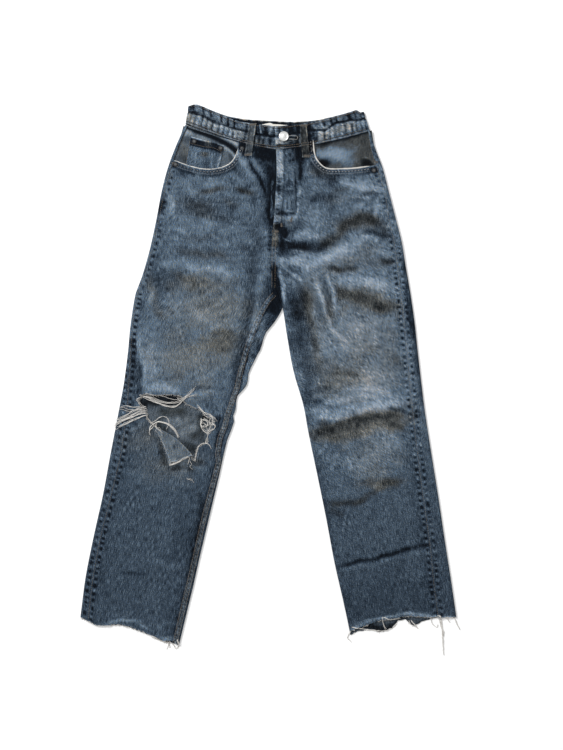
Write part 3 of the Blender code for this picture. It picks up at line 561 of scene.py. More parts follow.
# Broad washes: centre x and y, half lengths, turn in degrees, tone and brown.  Besides fading,
# the dark rows paint the shadows of the loops, the band, the fly, the flap and the crotch, and
# the pale ones paint some highlights on folds.
RIGHT_WASHES = [
    (-6, 428, 25, 19, -20, -0.60, 0),
    (-64, -2, 7, 24, -10, -0.14, 0),
    (-262, 18, 6, 45, 0, -0.10, 0),
    (-112, -62, 14, 8, 0, -0.09, 0),
    (-49, 438, 11, 12, 0, -0.50, 0),
    (-180, 406, 9, 7, 0, -0.34, 0),
    (7, 385, 13, 38, -6, -0.20, 0),
    (-124, 369, 32, 10, 5, +0.06, 0),
    (-98, 284, 75, 20, -8, +0.05, 0),
    (-190, 333, 20, 58, -12, +0.03, 0),
    (-138, 324, 55, 17, -12, -0.08, 0.25),
    (-205, 181, 32, 26, 0, -0.11, 0),
    (-140, 177, 70, 20, 0, -0.05, 0.55),
    (-110, 128, 80, 41, 0, +0.03, 0.6),
    (-92, 64, 50, 20, 10, -0.06, 0.58),
    (-153, 32, 80, 36, 0, +0.02, 0.58),
    (-228, 26, 17, 38, -15, +0.06, 0),
    (-205, -23, 34, 13, 0, +0.12, 0),
    (8, 300, 14, 30, 0, -0.25, 0),
    (4, 256, 12, 22, 0, -0.22, 0),
    (-249, -127, 38, 31, 0, +0.03, 0.4),
    (-270, -20, 14, 40, -6, -0.10, 0),
    (-180, -406, 31, 14, 5, +0.02, 0),
    (-163, -306, 21, 90, -12, -0.05, 0),
    (-245, -482, 103, 9, -14, +0.03, 0),
    (-39, 421, 8, 6, 0, -0.25, 0),
    (-56, 427, 5, 9, 0, +0.30, 0),
    (-6, 404, 8, 8, 0, -0.08, 0),
    (-90, 385, 10, 10, 0, -0.14, 0),
    (-170, 388, 14, 7, 0, -0.10, 0),
    (-204, 330, 6, 22, -8, -0.25, 0),
    (-184, 325, 6, 20, -8, +0.20, 0),
    (-27, 336, 8, 11, 0, -0.20, 0),
    (-54, 354, 12, 6, 0, -0.12, 0),
    (-72, 305, 8, 30, 0, -0.12, 0),
    (-88, 340, 9, 10, 0, -0.10, 0),
    (-4, 258, 7, 28, 0, +0.14, 0),
    (-29, 254, 8, 10, 0, +0.10, 0),
    (-70, 267, 12, 6, 0, -0.10, 0),
    (-47, 245, 10, 6, 0, -0.08, 0),
    (-172, 258, 14, 7, 0, +0.08, 0),
    (-79, 188, 10, 13, 0, +0.10, 0),
    (-120, 188, 10, 8, 0, +0.08, 0),
    (3, 172, 12, 20, 0, -0.14, 0),
    (-49, 175, 8, 8, 0, -0.08, 0),
    (-80, 60, 30, 26, -35, -0.05, 0.35),
    (-20, 52, 6, 9, -20, -0.20, 0),
    (-29, 37, 5, 6, -20, -0.30, 0),
    (-38, 104, 5, 22, -5, -0.14, 0),
    (-19, 100, 9, 8, 0, +0.16, 0),
    (-57, 92, 8, 12, 0, +0.08, 0),
    (-186, 121, 20, 6, -30, -0.10, 0),
    (-225, 150, 7, 26, -8, +0.12, 0),
    (-244, 130, 5, 10, 0, -0.14, 0),
    (-262, 60, 7, 10, 0, -0.20, 0),
    (-245, 8, 5, 16, 0, -0.26, 0),
    (-249, -30, 6, 12, 0, -0.26, 0),
    (-221, 12, 9, 7, 0, +0.10, 0),
    (-184, -31, 16, 5, -10, +0.16, 0),
    (-188, -172, 62, 34, 15, +0.04, 0.45),
    (-204, -150, 6, 30, 14, -0.20, 0.4),
    (-285, -478, 34, 4, 1, +0.24, 0),
    (-240, -489, 18, 4, -25, +0.20, 0),
    (-198, -508, 20, 5, -12, +0.24, 0),
    (-180, -180, 14, 5, 12, -0.30, 0.3),
    (-138, -168, 16, 6, 0, -0.14, 0.3),
    (-151, -181, 8, 6, 0, -0.18, 0.2),
    (-96, -85, 6, 7, 0, -0.16, 0),
    (-225, -110, 26, 30, 0, -0.03, 0.38),
    (-179, 78, 30, 26, 0, -0.05, 0.30),
    (-132, -17, 26, 14, 0, -0.02, 0.30),
    (-148, -48, 24, 10, 0, 0, 0.30),
    (-179, -4, 16, 12, 0, -0.06, 0.24),
    (-271, -17, 7, 14, 0, -0.06, 0.24),
    (-194, 384, 12, 9, 0, -0.07, 0.30),
    (-101, 398, 14, 8, 0, -0.07, 0.25),
    (-148, 95, 22, 11, 0, 0, 0.22),
    (-117, -30, 14, 24, 0, 0, 0.24),
    (-225, -4, 12, 10, 0, 0, 0.22),
]
LEFT_WASHES = [
    (27, 276, 11, 10, 0, -0.20, 0),
    (66, 40, 9, 60, 11, -0.10, 0),
    (76, -25, 8, 16, 10, -0.10, 0),
    (288, 30, 7, 50, 5, -0.10, 0),
    (298, -45, 6, 30, 5, -0.10, 0),
    (62, 96, 22, 40, 8, -0.17, 0.1),
    (47, 140, 17, 44, 14, -0.20, 0),
    (84, 20, 20, 34, 12, -0.13, 0.2),
    (74, -42, 16, 20, 10, -0.18, 0),
    (77, 149, 26, 38, 0, -0.05, 0.4),
    (196, 143, 55, 22, -10, -0.06, 0.8),
    (178, 296, 38, 20, 10, -0.07, 0.6),
    (178, 79, 56, 46, 0, +0.04, 0.35),
    (196, 1, 58, 32, 0, +0.05, 0.35),
    (80, 288, 32, 17, 10, +0.05, 0),
    (138, -7, 40, 22, 0, -0.05, 0.5),
    (172, -100, 90, 23, 14, -0.05, 0.9),
    (244, -91, 20, 20, 0, -0.01, 0.45),
    (195, -150, 52, 42, 0, +0.10, 0.3),
    (218, -208, 40, 12, 5, -0.03, 0.8),
    (205, -433, 85, 59, 0, -0.03, 0),
    (230, 125, 18, 10, -10, -0.08, 0.3),
    (282, -75, 14, 14, 0, -0.14, 0.2),
    (92, 393, 18, 13, 0, -0.05, 0.5),
    (66, 434, 16, 22, 0, -0.55, 0),
    (38, 438, 26, 7, 8, -0.25, 0),
    (84, 442, 8, 14, 0, -0.50, 0),
    (203, 394, 8, 6, 0, -0.28, 0),
    (31, 239, 14, 11, -25, -0.28, 0),
    (85, 254, 22, 6, 0, -0.10, 0),
    (57, 272, 15, 8, 10, +0.12, 0),
    (42, 301, 17, 5, 0, +0.20, 0),
    (19, 313, 10, 7, 0, -0.30, 0),
    (17, 286, 8, 7, 0, -0.26, 0),
    (24, 393, 6, 9, 0, +0.20, 0),
    (23, 421, 6, 6, 0, +0.12, 0),
    (19, 360, 8, 7, 0, -0.22, 0),
    (42, 360, 16, 20, 0, -0.19, 0),
    (67, 412, 6, 14, 0, -0.12, 0),
    (121, 369, 13, 9, 0, -0.15, 0),
    (121, 345, 12, 8, 0, -0.12, 0),
    (93, 337, 12, 8, 0, -0.10, 0),
    (108, 397, 9, 9, 0, -0.10, 0),
    (196, 373, 16, 5, 10, +0.14, 0),
    (206, 356, 18, 5, 5, +0.16, 0),
    (150, 367, 9, 5, 0, +0.14, 0),
    (174, 325, 14, 8, 0, +0.15, 0),
    (207, 321, 7, 12, 0, +0.15, 0),
    (227, 333, 7, 12, 0, -0.15, 0),
    (206, 274, 22, 7, -25, -0.20, 0),
    (230, 286, 6, 10, 10, +0.12, 0),
    (132, 280, 9, 15, 0, +0.12, 0),
    (71, 229, 13, 8, -10, +0.13, 0),
    (72, 209, 13, 6, -20, +0.08, 0),
    (24, 182, 5, 32, 11, +0.28, 0),
    (67, 155, 8, 20, 25, -0.14, 0),
    (42, 197, 11, 4, -30, -0.08, 0),
    (52, 188, 14, 4, -35, +0.10, 0),
    (108, 180, 5, 16, 5, -0.10, 0),
    (160, 165, 8, 16, 25, +0.08, 0),
    (142, 156, 10, 14, 0, -0.08, 0.5),
    (28, 152, 4, 22, 8, +0.26, 0),
    (168, 200, 22, 10, 0, +0.12, 0),
    (62, 240, 16, 4, -5, +0.14, 0),
    (60, 285, 14, 13, 0, -0.12, 0),
    (112, 226, 14, 6, 15, +0.10, 0),
    (190, 274, 7, 5, 0, -0.12, 0),
    (206, 308, 6, 12, 0, +0.12, 0),
    (102, 122, 10, 24, 20, -0.10, 0),
    (126, 127, 7, 10, 0, +0.09, 0),
    (93, 78, 9, 11, 0, +0.08, 0),
    (95, 33, 12, 12, 0, +0.13, 0),
    (137, 55, 17, 8, 30, +0.09, 0),
    (48, 58, 8, 45, 12, -0.13, 0),
    (103, -26, 16, 8, 0, -0.18, 0),
    (93, -52, 12, 7, 0, -0.16, 0),
    (130, -51, 18, 5, 0, +0.12, 0),
    (190, -40, 26, 5, -8, +0.24, 0),
    (213, -49, 14, 5, -20, +0.14, 0),
    (180, -69, 15, 5, 20, +0.14, 0),
    (152, -82, 13, 4, 20, +0.14, 0),
    (243, -66, 22, 4, -12, -0.18, 0),
    (97, -69, 16, 5, 0, +0.10, 0),
    (106, -91, 15, 6, 5, -0.18, 0),
    (76, -87, 7, 10, 0, -0.14, 0),
    (123, -113, 18, 6, 10, +0.10, 0),
    (175, -98, 26, 8, 10, -0.09, 0),
    (180, -138, 20, 22, 20, -0.10, 0),
    (228, -128, 8, 16, 15, +0.08, 0),
    (175, -180, 20, 7, 0, +0.07, 0),
    (211, -218, 14, 9, 10, +0.10, 0),
    (288, -113, 8, 12, 0, -0.08, 0),
    (314, -465, 46, 5, -3, +0.26, 0),
    (224, -472, 46, 5, 10, +0.26, 0),
    (172, -489, 20, 5, 22, +0.22, 0),
    (190, -30, 34, 5, -5, +0.14, 0),
    (115, -33, 30, 18, 0, -0.04, 0.38),
    (115, 14, 28, 24, 0, -0.03, 0.34),
    (160, 222, 42, 11, 12, 0, 0.38),
    (207, 214, 24, 10, 0, -0.02, 0.28),
    (113, 196, 12, 14, 0, 0, 0.32),
    (238, 30, 20, 28, 0, -0.05, 0.34),
    (165, 29, 30, 18, 0, -0.06, 0.24),
    (104, 95, 15, 32, 0, -0.04, 0.28),
    (205, 52, 34, 14, 0, -0.02, 0.24),
    (170, -48, 36, 10, 0, +0.05, 0.26),
    (115, 261, 22, 12, 0, +0.02, 0.28),
    (118, 384, 20, 12, 0, -0.05, 0.25),
    (130, 338, 20, 12, 0, -0.03, 0.25),
    (22, 307, 12, 10, 0, -0.04, 0.22),
    (192, 245, 22, 10, 0, -0.01, 0.30),
    (130, 200, 13, 11, 0, 0, 0.32),
    (115, 247, 20, 9, 0, -0.01, 0.26),
    (97, 183, 9, 13, 0, 0, 0.28),
    (146, 124, 13, 15, 0, -0.01, 0.28),
    (207, -187, 30, 13, 0, 0, 0.28),
    (207, 308, 12, 9, 0, +0.08, -0.20),
    (238, 76, 17, 15, 0, -0.01, 0.24),
    (254, -156, 15, 18, 0, -0.02, 0.24),
    (161, 214, 11, 8, 0, +0.02, 0.20),
    (130, 291, 13, 9, 0, 0, 0.24),
    (38, 291, 11, 9, 0, 0, 0.24),
]


def crease_field(x, y, creases):
    """Height in mm, tone and brown that the creases give at points in mm.  The tone holds painted highlight
    and shade as well as fading.
    """
    height, tone, brown = np.zeros(x.shape), np.zeros(x.shape), np.zeros(x.shape)
    for k, (rise, width, shade, browning, points) in enumerate(creases):
        line = curve(points, 5.0)
        reach = 3 * width
        low, high = line.min(0) - reach, line.max(0) + reach
        near = (x > low[0]) & (x < high[0]) & (y > low[1]) & (y < high[1])
        if not near.any():
            continue
        off, along, length = nearest(x[near], y[near], line)
        wander = 0.45 * width * noise(along / 15, 0, 3 * k + 1)
        swell = 0.9 + 0.30 * noise(along / 23, 0, 3 * k + 2)
        fade = min(0.3 * length, 25)
        ends = smoothstep(0, fade, along) * smoothstep(0, fade, length - along)
        ends = 0.25 + 0.75 * ends
        profile = bell(off - wander, width) * ends * swell
        height[near] += rise * profile
        tone[near] += shade * profile
        brown[near] += browning * profile
    return height, tone, brown


def line_shade(x, y, points, width):
    return bell(nearest(x, y, curve(points))[0], width)


def wash_field(x, y, washes):
    tone, brown = np.zeros(x.shape), np.zeros(x.shape)
    for k, (cx, cy, rx, ry, turn, shade, browning) in enumerate(washes):
        c, s = cos_sin(turn)
        u, v = x - cx, y - cy
        ragged = 1 + 0.30 * noise(x / 21, y / 17, 50 + k) + 0.20 * noise(x / 8, y / 6, 70 + k)
        reach = np.hypot((c * u + s * v) / rx, (c * v - s * u) / ry) * ragged
        share = 1 - smoothstep(0.15, 1.5, reach)
        tone += shade * share
        brown += browning * share
    return tone, brown


print(len(RIGHT_CREASES) + len(LEFT_CREASES), "creases on the front")

# %% [markdown]
# ## A wall of cloth
# Every panel starts as a grid of points on the cloth's face, a row for each step down the leg
# and a column for each step round it.  The wall's other face lies one thickness below, and a
# rim joins the two wherever the cloth ends.  A cut is made the way shears make one: grid points
# near the cut move onto it, and the cells inside it are dropped.  Each point carries two
# things for the material: its place on the flat cloth, so that the weave follows the grain, and
# its wash, which is how pale, brown and shaded the denim is there.


# %% Build a wall of cloth
def face_normals(points, sign):
    down = np.gradient(points, axis=0)
    across = np.gradient(points, axis=1)
    normal = np.cross(down, across)
    length = np.linalg.norm(normal, axis=-1, keepdims=True)
    return sign * normal / np.maximum(length, 1e-12)


def inside(x, y, outline):
    """True where a point lies inside a closed outline."""
    odd = np.zeros(np.shape(x), bool)
    for (ax, ay), (bx, by) in zip(outline, np.roll(outline, -1, axis=0)):
        if ay == by:
            continue
        crosses = (ay > y) != (by > y)
        odd ^= crosses & (x < (bx - ax) * (y - ay) / (by - ay) + ax)
    return odd


def snap_to(points, outline, reach, trim=False):
    """Moves grid points near a cut onto it.  Returns the points, and for each one 1 where the
    cloth stays, 0 on the cut and -1 where it goes.  A trim keeps what lies inside."""
    x, y = points[..., 0], points[..., 1]
    closed = np.concatenate([outline, outline[:1]])
    stays, goes = (-1, 1) if trim else (1, -1)
    state = np.full(x.shape, stays)
    low, high = outline.min(0) - reach, outline.max(0) + reach
    near = (x > low[0]) & (x < high[0]) & (y > low[1]) & (y < high[1])
    px, py = x[near], y[near]
    best = np.full(px.shape, np.inf)
    bx, by = px.copy(), py.copy()
    for (ax, ay), (cx, cy) in zip(closed[:-1], closed[1:]):
        dx, dy = cx - ax, cy - ay
        t = np.clip(((px - ax) * dx + (py - ay) * dy) / max(dx * dx + dy * dy, 1e-18), 0, 1)
        qx, qy = ax + t * dx, ay + t * dy
        distance = np.hypot(px - qx, py - qy)
        closer = distance < best
        best = np.where(closer, distance, best)
        bx, by = np.where(closer, qx, bx), np.where(closer, qy, by)
    held = np.where(inside(px, py, outline), goes, stays)
    held = np.where(best < reach / 2, 0, held)
    state[near] = held
    moved = points.copy()
    spot = moved[near]
    spot[:, 0] = np.where(held == 0, bx, spot[:, 0])
    spot[:, 1] = np.where(held == 0, by, spot[:, 1])
    moved[near] = spot
    return moved, state


def grid_faces(rows, columns, states, points):
    """Faces of a grid, less those that the cuts take.  states holds, for each cut, its outline,
    whether it is a trim, and the points' states."""
    index = np.arange(rows * columns).reshape(rows, columns)
    quads = np.stack([index[:-1, :-1], index[1:, :-1], index[1:, 1:], index[:-1, 1:]], -1).reshape(-1, 4)
    flat = points.reshape(-1, 3)
    triangles = []
    for outline, trim, state in states:
        corner = state.reshape(-1)[quads]
        middle = flat[quads].mean(1)
        gone = (corner < 0).any(1) & ~(corner > 0).any(1)
        on_edge = (corner == 0).all(1)
        gone |= on_edge & (inside(middle[:, 0], middle[:, 1], outline) != trim)
        split = (corner < 0).any(1) & (corner > 0).any(1)
        for quad, kind in zip(quads[split], corner[split]):
            for k in range(4):
                if kind[k] > 0 and kind[k - 1] == 0 and kind[(k + 1) % 4] == 0:
                    triangles.append((quad[k - 1], quad[k], quad[(k + 1) % 4]))
        quads = quads[~gone & ~split]
    return quads, np.array(triangles, int).reshape(-1, 3)


def cloth(name, face_points, materials, thickness=DENIM, sign=1.0, cuts=(), reach=2.4 * MM,
          trim=None, place=None, wash=None, inside=None):
    """A closed wall of cloth over a grid of points on its face.  materials are the face's and
    the reverse's.  place and wash are given for each grid point, and inside is the reverse's
    own wash where it differs."""
    rows, columns = face_points.shape[:2]
    states = []
    outlines = [(outline, False) for outline in cuts] + ([(trim, True)] if trim is not None else [])
    for outline, keeps in outlines:
        face_points, state = snap_to(face_points, outline, reach, keeps)
        states.append((outline, keeps, state))
    quads, triangles = grid_faces(rows, columns, states, face_points)
    normal = face_normals(face_points, sign)
    back = face_points - thickness * normal
    count = rows * columns
    points = np.concatenate([face_points.reshape(-1, 3), back.reshape(-1, 3)])
    if sign < 0:
        quads, triangles = quads[:, ::-1], triangles[:, ::-1]
    edges = [np.stack([f, np.roll(f, -1, axis=1)], -1).reshape(-1, 2) for f in (quads, triangles)]
    edges = np.concatenate(edges)
    keys = np.sort(edges, axis=1) @ np.array([count, 1])
    _, first, counts = np.unique(keys, return_index=True, return_counts=True)
    rim = edges[first[counts == 1]]
    rim = np.stack([rim[:, 1], rim[:, 0], rim[:, 0] + count, rim[:, 1] + count], -1)
    faces = [*quads.tolist(), *triangles.tolist()]
    split = len(faces)
    faces += [*(quads[:, ::-1] + count).tolist(), *(triangles[:, ::-1] + count).tolist()]
    faces += rim.tolist()
    used = np.unique(np.concatenate([quads.ravel(), triangles.ravel()]))
    used = np.concatenate([used, used + count])
    renumber = np.full(2 * count, -1)
    renumber[used] = np.arange(len(used))
    mesh = bpy.data.meshes.new(name)
    mesh.from_pydata(points[used], [], [[int(renumber[k]) for k in face] for face in faces])
    for material in materials:
        mesh.materials.append(material)
    if len(materials) > 1:
        slots = np.zeros(len(faces), np.int32)
        slots[split:len(faces) - len(rim)] = 1
        mesh.polygons.foreach_set("material_index", slots)
    mesh.shade_smooth()
    mesh.set_sharp_from_angle(angle=math.radians(55))
    if place is None:
        place = face_points
    carried = np.concatenate([place.reshape(count, -1), np.zeros((count, 3))], axis=1)[:, :3]
    give(mesh, "place", "FLOAT_VECTOR", np.concatenate([carried, carried])[used])
    if wash is not None:
        layers = [layer.reshape(count, 3) for layer in (wash, wash if inside is None else inside)]
        layers = np.concatenate(layers)
        give(mesh, "wash", "FLOAT_COLOR", np.column_stack([layers, np.ones(len(layers))])[used])
    return set_in_place(name, mesh)


def set_in_place(name, mesh):
    """Stands a finished mesh in the scene, as a piece of the one rigid body."""
    obj = bpy.data.objects.new(name, mesh)
    bpy.context.scene.collection.objects.link(obj)
    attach(obj, "root")
    return obj


def joined_rings(index):
    """Faces between each ring of points and the next.  index holds a row for each ring."""
    after = np.roll(index, -1, axis=1)
    return np.stack([index[:-1], after[:-1], after[1:], index[1:]], -1).reshape(-1, 4)


def give(mesh, name, kind, values):
    """Stores a value on every point of the mesh, for its material to read."""
    layer = mesh.attributes.new(name, kind, "POINT")
    layer.data.foreach_set("color" if kind == "FLOAT_COLOR" else "vector", values.ravel())


# %% [markdown]
# ## Denim
# Denim is a twill: indigo warp threads cross pale weft threads, and the warp shows on the face.
# The warp yarns are uneven, so worn denim is streaked along the grain.  The dye sits on the
# outside of the yarn, so rubbing turns it from near black through blue to grey white.  The
# material works the same way: one number, the wash, runs along that scale of colours, and
# streaks of noise stretched along the grain push it up and down.  That number also carries the
# painted highlight and shade of creases and folds, and another number paints deeper shade,
# darkening the colour towards black.  The diagonal of the twill and the streaks also raise the
# surface a little.

# %% Denim materials
INDIGO = [
    (0.00, (8, 12, 18)), (0.20, (26, 36, 47)), (0.40, (55, 68, 82)),
    (0.60, (88, 105, 121)), (0.80, (124, 141, 158)), (1.00, (176, 186, 195)),
]
UNDYED = [
    (0.00, (8, 11, 15)), (0.20, (30, 36, 42)), (0.40, (56, 65, 74)),
    (0.60, (87, 97, 107)), (0.80, (124, 134, 142)), (1.00, (174, 177, 179)),
]
TWILL_PITCH = 0.55 * MM
TWILL_TURN = 38.0
RIB_GAIN, RIB_START = 4.5, 1.6
FLECK_SIZE = 2.0
FLECK_WARM, FLECK_COOL = 0.9, 1.2


def linear(colour):
    """A colour written as 0 to 255 in sRGB, as the linear value that shaders take."""
    share = np.array(colour) / 255
    low = share / 12.92
    high = ((share + 0.055) / 1.055) ** 2.4
    return (*np.where(share <= 0.04045, low, high), 1.0)


def streaks(tree, place, across, along, seed, detail=2.0):
    """Noise about 0, in lumps of the given size in millimetres on the flat cloth."""
    size = (1 / (across * MM), 1 / (along * MM), 1)
    scaled = add_node(tree, "VectorMath", {0: place, 1: size}, operation="MULTIPLY").outputs[0]
    moved = add_node(tree, "VectorMath", {0: scaled, 1: (seed * 7.3, seed * 3.1, seed)}).outputs[0]
    lumps = add_node(tree, "TexNoise", {"Vector": moved, "Scale": 1.0, "Detail": detail})
    return calc(tree, "SUBTRACT", lumps.outputs["Fac"], 0.5)


def denim(name, contrast=1.0, shift=0.0, scale=INDIGO, twill_share=0.62, fine_share=0.46,
          brown_cast=(1.46, 1.04, 0.72)):
    """Denim whose wash comes from the cloth: red is how pale, with painted highlight and shade in it, green
    how brown, blue how much painted shade darkens it.
    """
    made, tree, shader = new_material(name)
    place = add_node(tree, "Attribute", attribute_name="place").outputs["Vector"]
    wash = add_node(tree, "Attribute", attribute_name="wash").outputs["Color"]
    parts = add_node(tree, "SeparateColor", {"Color": wash})
    pale, brown, shade = parts.outputs
    bend = calc(tree, "MULTIPLY", streaks(tree, place, 24, 42, 8, 0.0), 12 * MM)
    bend = add_node(tree, "CombineXYZ", {"X": bend}).outputs[0]
    grain = add_node(tree, "VectorMath", {0: place, 1: bend}).outputs[0]
    twill = add_node(tree, "VectorRotate", {"Vector": grain, "Angle": math.radians(TWILL_TURN)},
                     rotation_type="Z_AXIS").outputs[0]
    fine = streaks(tree, grain, 1.0, 12.0, 1, 0.0)
    long = streaks(tree, grain, 1.6, 26, 2, 0.0)
    ribs = streaks(tree, twill, 1.25, 9, 3, 0.0)
    pepper = streaks(tree, place, 1.1, 2.2, 4, 0.0)
    folds = streaks(tree, twill, 5, 26, 7, 0.0)
    blotch = streaks(tree, grain, 20, 60, 5, 1.0)
    value = calc(tree, "ADD", pale, shift)
    paleness = calc(tree, "MULTIPLY_ADD", pale, RIB_GAIN, -RIB_START)
    paleness = add_node(tree, "Clamp", {"Value": paleness, "Min": 0.4, "Max": 1.0}).outputs[0]
    ribs = calc(tree, "MULTIPLY", ribs, paleness)
    folds = calc(tree, "MULTIPLY", folds, paleness)
    pepper = calc(tree, "MULTIPLY", pepper, calc(tree, "MULTIPLY_ADD", paleness, -0.7, 1.5))
    fine = calc(tree, "MULTIPLY", fine, calc(tree, "MULTIPLY_ADD", paleness, -0.5, 1.4))
    weights = (
        (fine, fine_share), (long, 0.16), (ribs, twill_share), (pepper, 0.46), (folds, 0.14), (blotch, 0.16),
    )
    texture = 0.0
    for part, weight in weights:
        texture = calc(tree, "MULTIPLY_ADD", part, weight * contrast, texture)
    value = calc(tree, "ADD", value, texture)
    ramp = add_node(tree, "ValToRGB", {"Fac": value})
    stops = ramp.color_ramp.elements
    while len(stops) < len(scale):
        stops.new(0.5)
    for stop, (position, colour) in zip(stops, scale):
        stop.position = position
        stop.color = linear(colour)
    # Brown tints the denim: in places it is the cloth's own brown tint, and in others the colour of a painted
    # shadow.
    brown_tone = mix_colour(tree, 1.0, ramp.outputs["Color"], (*brown_cast, 1), "MULTIPLY")
    browning = calc(tree, "MULTIPLY_ADD", streaks(tree, place, 6, 12, 6), 0.25, brown)
    browning = calc(tree, "MULTIPLY_ADD", streaks(tree, place, 1.6, 2.0, 9, 0.0), 0.9, browning)
    browning = add_node(tree, "Clamp", {"Value": browning}).outputs[0]
    colour = mix_colour(tree, browning, ramp.outputs["Color"], brown_tone)
    fleck = calc(tree, "MULTIPLY", streaks(tree, place, FLECK_SIZE, FLECK_SIZE, 11, 0.0), paleness)
    warm = calc(tree, "MULTIPLY_ADD", fleck, FLECK_WARM, 1.0)
    cool = calc(tree, "MULTIPLY_ADD", fleck, -FLECK_COOL, 1.0)
    fleck_tint = add_node(tree, "CombineColor", {"Red": warm, "Green": 1.0, "Blue": cool})
    colour = mix_colour(tree, 1.0, colour, fleck_tint.outputs["Color"], "MULTIPLY")
    # The wash's blue is painted shade: it darkens the colour towards near black.
    colour = mix_colour(tree, shade, colour, (0.004, 0.006, 0.009, 1))
    tree.links.new(colour, shader.inputs["Base Color"])
    diagonal = add_node(tree, "VectorMath", {0: place, 1: (1.0, 0.62, 0)}, operation="DOT_PRODUCT")
    rib = calc(tree, "MULTIPLY", diagonal.outputs["Value"], 2 * math.pi / TWILL_PITCH)
    rib = calc(tree, "SINE", rib)
    height = calc(tree, "MULTIPLY_ADD", rib, 0.10, calc(tree, "MULTIPLY", texture, 0.7))
    bump = add_node(tree, "Bump", {"Height": height, "Strength": 0.4, "Distance": 0.4 * MM})
    tree.links.new(bump.outputs["Normal"], shader.inputs["Normal"])
    shader.inputs["Roughness"].default_value = 0.88
    shader.inputs["Specular IOR Level"].default_value = 0.04
    shader.inputs["Sheen Weight"].default_value = 0.02
    shader.inputs["Sheen Roughness"].default_value = 0.5
    return made


DENIM_FACE = denim("denim face", 1.0, -0.04)
DENIM_RIGHT = denim("denim face right", 0.85, -0.04, twill_share=0.34, fine_share=0.66)
DENIM_FACING = denim("denim facing", 0.55, -0.04)
DENIM_REVERSE = denim("denim reverse", 0.8, 0.07, UNDYED, brown_cast=(1.22, 1.05, 0.84))
print("denim runs through", len(INDIGO), "colours")

# %% [markdown]
# ## Puckered seams
# A felled seam is sewn through several layers with two rows of stitches.  When the jeans are
# washed the thread shrinks less than the denim, so the seam draws up into lumps: between the
# lumps the dye stays dark, and their tops rub pale.


# %% Puckers along a seam
def puckers(x, y, line, rows, pitch=12.0, spread=2.5, depth=1.2, dark=0.95, seed=0):
    """Height in mm and tone of the lumps beside a seam.  rows are the offsets of its stitches."""
    off, along, _ = nearest(x, y, line)
    height, tone = np.zeros(x.shape), np.zeros(x.shape)
    for k, row in enumerate(rows):
        drift = 0.35 * noise(along / 31, 0, seed + k) + 0.18 * noise(along / 9, 0, seed + k + 5)
        beat = beats(along / pitch + drift + 0.4 * k)
        strength = 0.65 + 0.5 * noise(along / 19, 0, seed + k + 9)
        pit = beat**2.5 * bell(off - row, spread) * strength
        lump = (1 - beat) ** 2 * bell(off - row, spread)
        height += depth * (0.6 * lump - pit)
        tone += dark * (0.24 * lump - pit)
    ridge = bell(off, 1.6)
    return height + 0.3 * ridge, tone + 0.05 * ridge

# %% [markdown]
# ## The front panels
# Each front panel carries the side seam's puckers along its outer edge.  The right one also
# ends in the felled inseam, a flat ridge with a row of stitches on each side, and has the rip
# at the knee.  The left one ends at the centre in the edge of the fly, which lies proud of the
# right front.  The pocket openings are scooped out of both.

# %% Cuts in the front panels, in millimetres
RIGHT_OPENING = [
    (-58, 446), (-58.5, 436), (-61, 427), (-67, 415), (-75, 406.5), (-87, 400.5), (-99, 397.5), (-112, 396),
    (-129, 397), (-147, 401), (-164, 406.5), (-179, 412), (-196, 417),
]
LEFT_OPENING = [
    (86, 452), (87, 440), (88.5, 428), (92, 417), (97.5, 409), (104, 402.5), (112, 398), (124, 396.5),
    (142, 397), (160, 397.5), (178, 399.5), (194, 402), (214, 405),
]
RIGHT_SCOOP = [(-240, 419), (-240, 560), (-58, 560)]
LEFT_SCOOP = [(250, 406), (250, 560), (87, 560)]
KNEE_RIP = [
    (-251, -47), (-245, -40), (-240, -36), (-228, -38), (-211, -39), (-196, -37), (-182, -38), (-171, -40),
    (-165, -46), (-161, -53), (-152, -58), (-143, -63), (-133, -67), (-125, -71), (-118, -79), (-111, -84),
    (-106, -92), (-109, -99), (-114, -107), (-115, -117), (-117, -129), (-126, -135), (-134, -139),
    (-136, -148), (-139, -157), (-143, -166), (-150, -159), (-162, -149), (-176, -139), (-190, -128),
    (-202, -118), (-210, -108), (-219, -101), (-229, -93), (-236, -84), (-235, -76), (-241, -69), (-248, -60),
]
# Hems: share of the width from the outseam, and how far the raw edge lies past the hem line
RIGHT_HEM = [
    (0, 3), (0.1, 7), (0.2, 3), (0.35, -8), (0.5, -9), (0.65, -6), (0.78, -2), (0.88, 1), (0.95, -3), (1, -5)
]
LEFT_HEM = [(0, 1), (0.1, 0), (0.19, -2), (0.35, -6), (0.47, -5), (0.62, -7), (0.72, -5), (0.9, -3), (1, -1)]


def ragged(outline, amount, seed, step=2.0):
    """The smooth closed outline through the points, with small uneven teeth."""
    line = curve([*outline, outline[0]], step)[:-1]
    ahead = np.roll(line, -1, axis=0) - np.roll(line, 1, axis=0)
    ahead /= np.linalg.norm(ahead, axis=1)[:, None]
    side = np.stack([ahead[:, 1], -ahead[:, 0]], -1)
    k = np.arange(len(line))
    return line + side * (amount * noise(k * 0.8, 0, seed))[:, None]


# %% Tone down the leg: section and how pale the denim is there
RIGHT_FADE = [
    (0, 0.49), (2, 0.50), (4, 0.51), (6, 0.53), (8, 0.57), (9, 0.57), (10, 0.54), (10.8, 0.47), (12, 0.44),
    (13, 0.425), (14, 0.415), (15, 0.405), (16, 0.40),
]
LEFT_FADE = [
    (0, 0.49), (2, 0.53), (4, 0.55), (5, 0.57), (6, 0.60), (8, 0.61), (9.5, 0.61), (10.6, 0.60), (11.4, 0.54),
    (12, 0.50), (13, 0.45), (14, 0.43), (15, 0.40), (16, 0.39),
]
# Painted shade near the sides of each leg, where the cloth turns down round the folds.
SIDE_SHADE = 0.07
TOP_SURFACE = {
    "right": (RIGHT_CREASES, RIGHT_WASHES, RIGHT_FADE), "left": (LEFT_CREASES, LEFT_WASHES, LEFT_FADE),
}


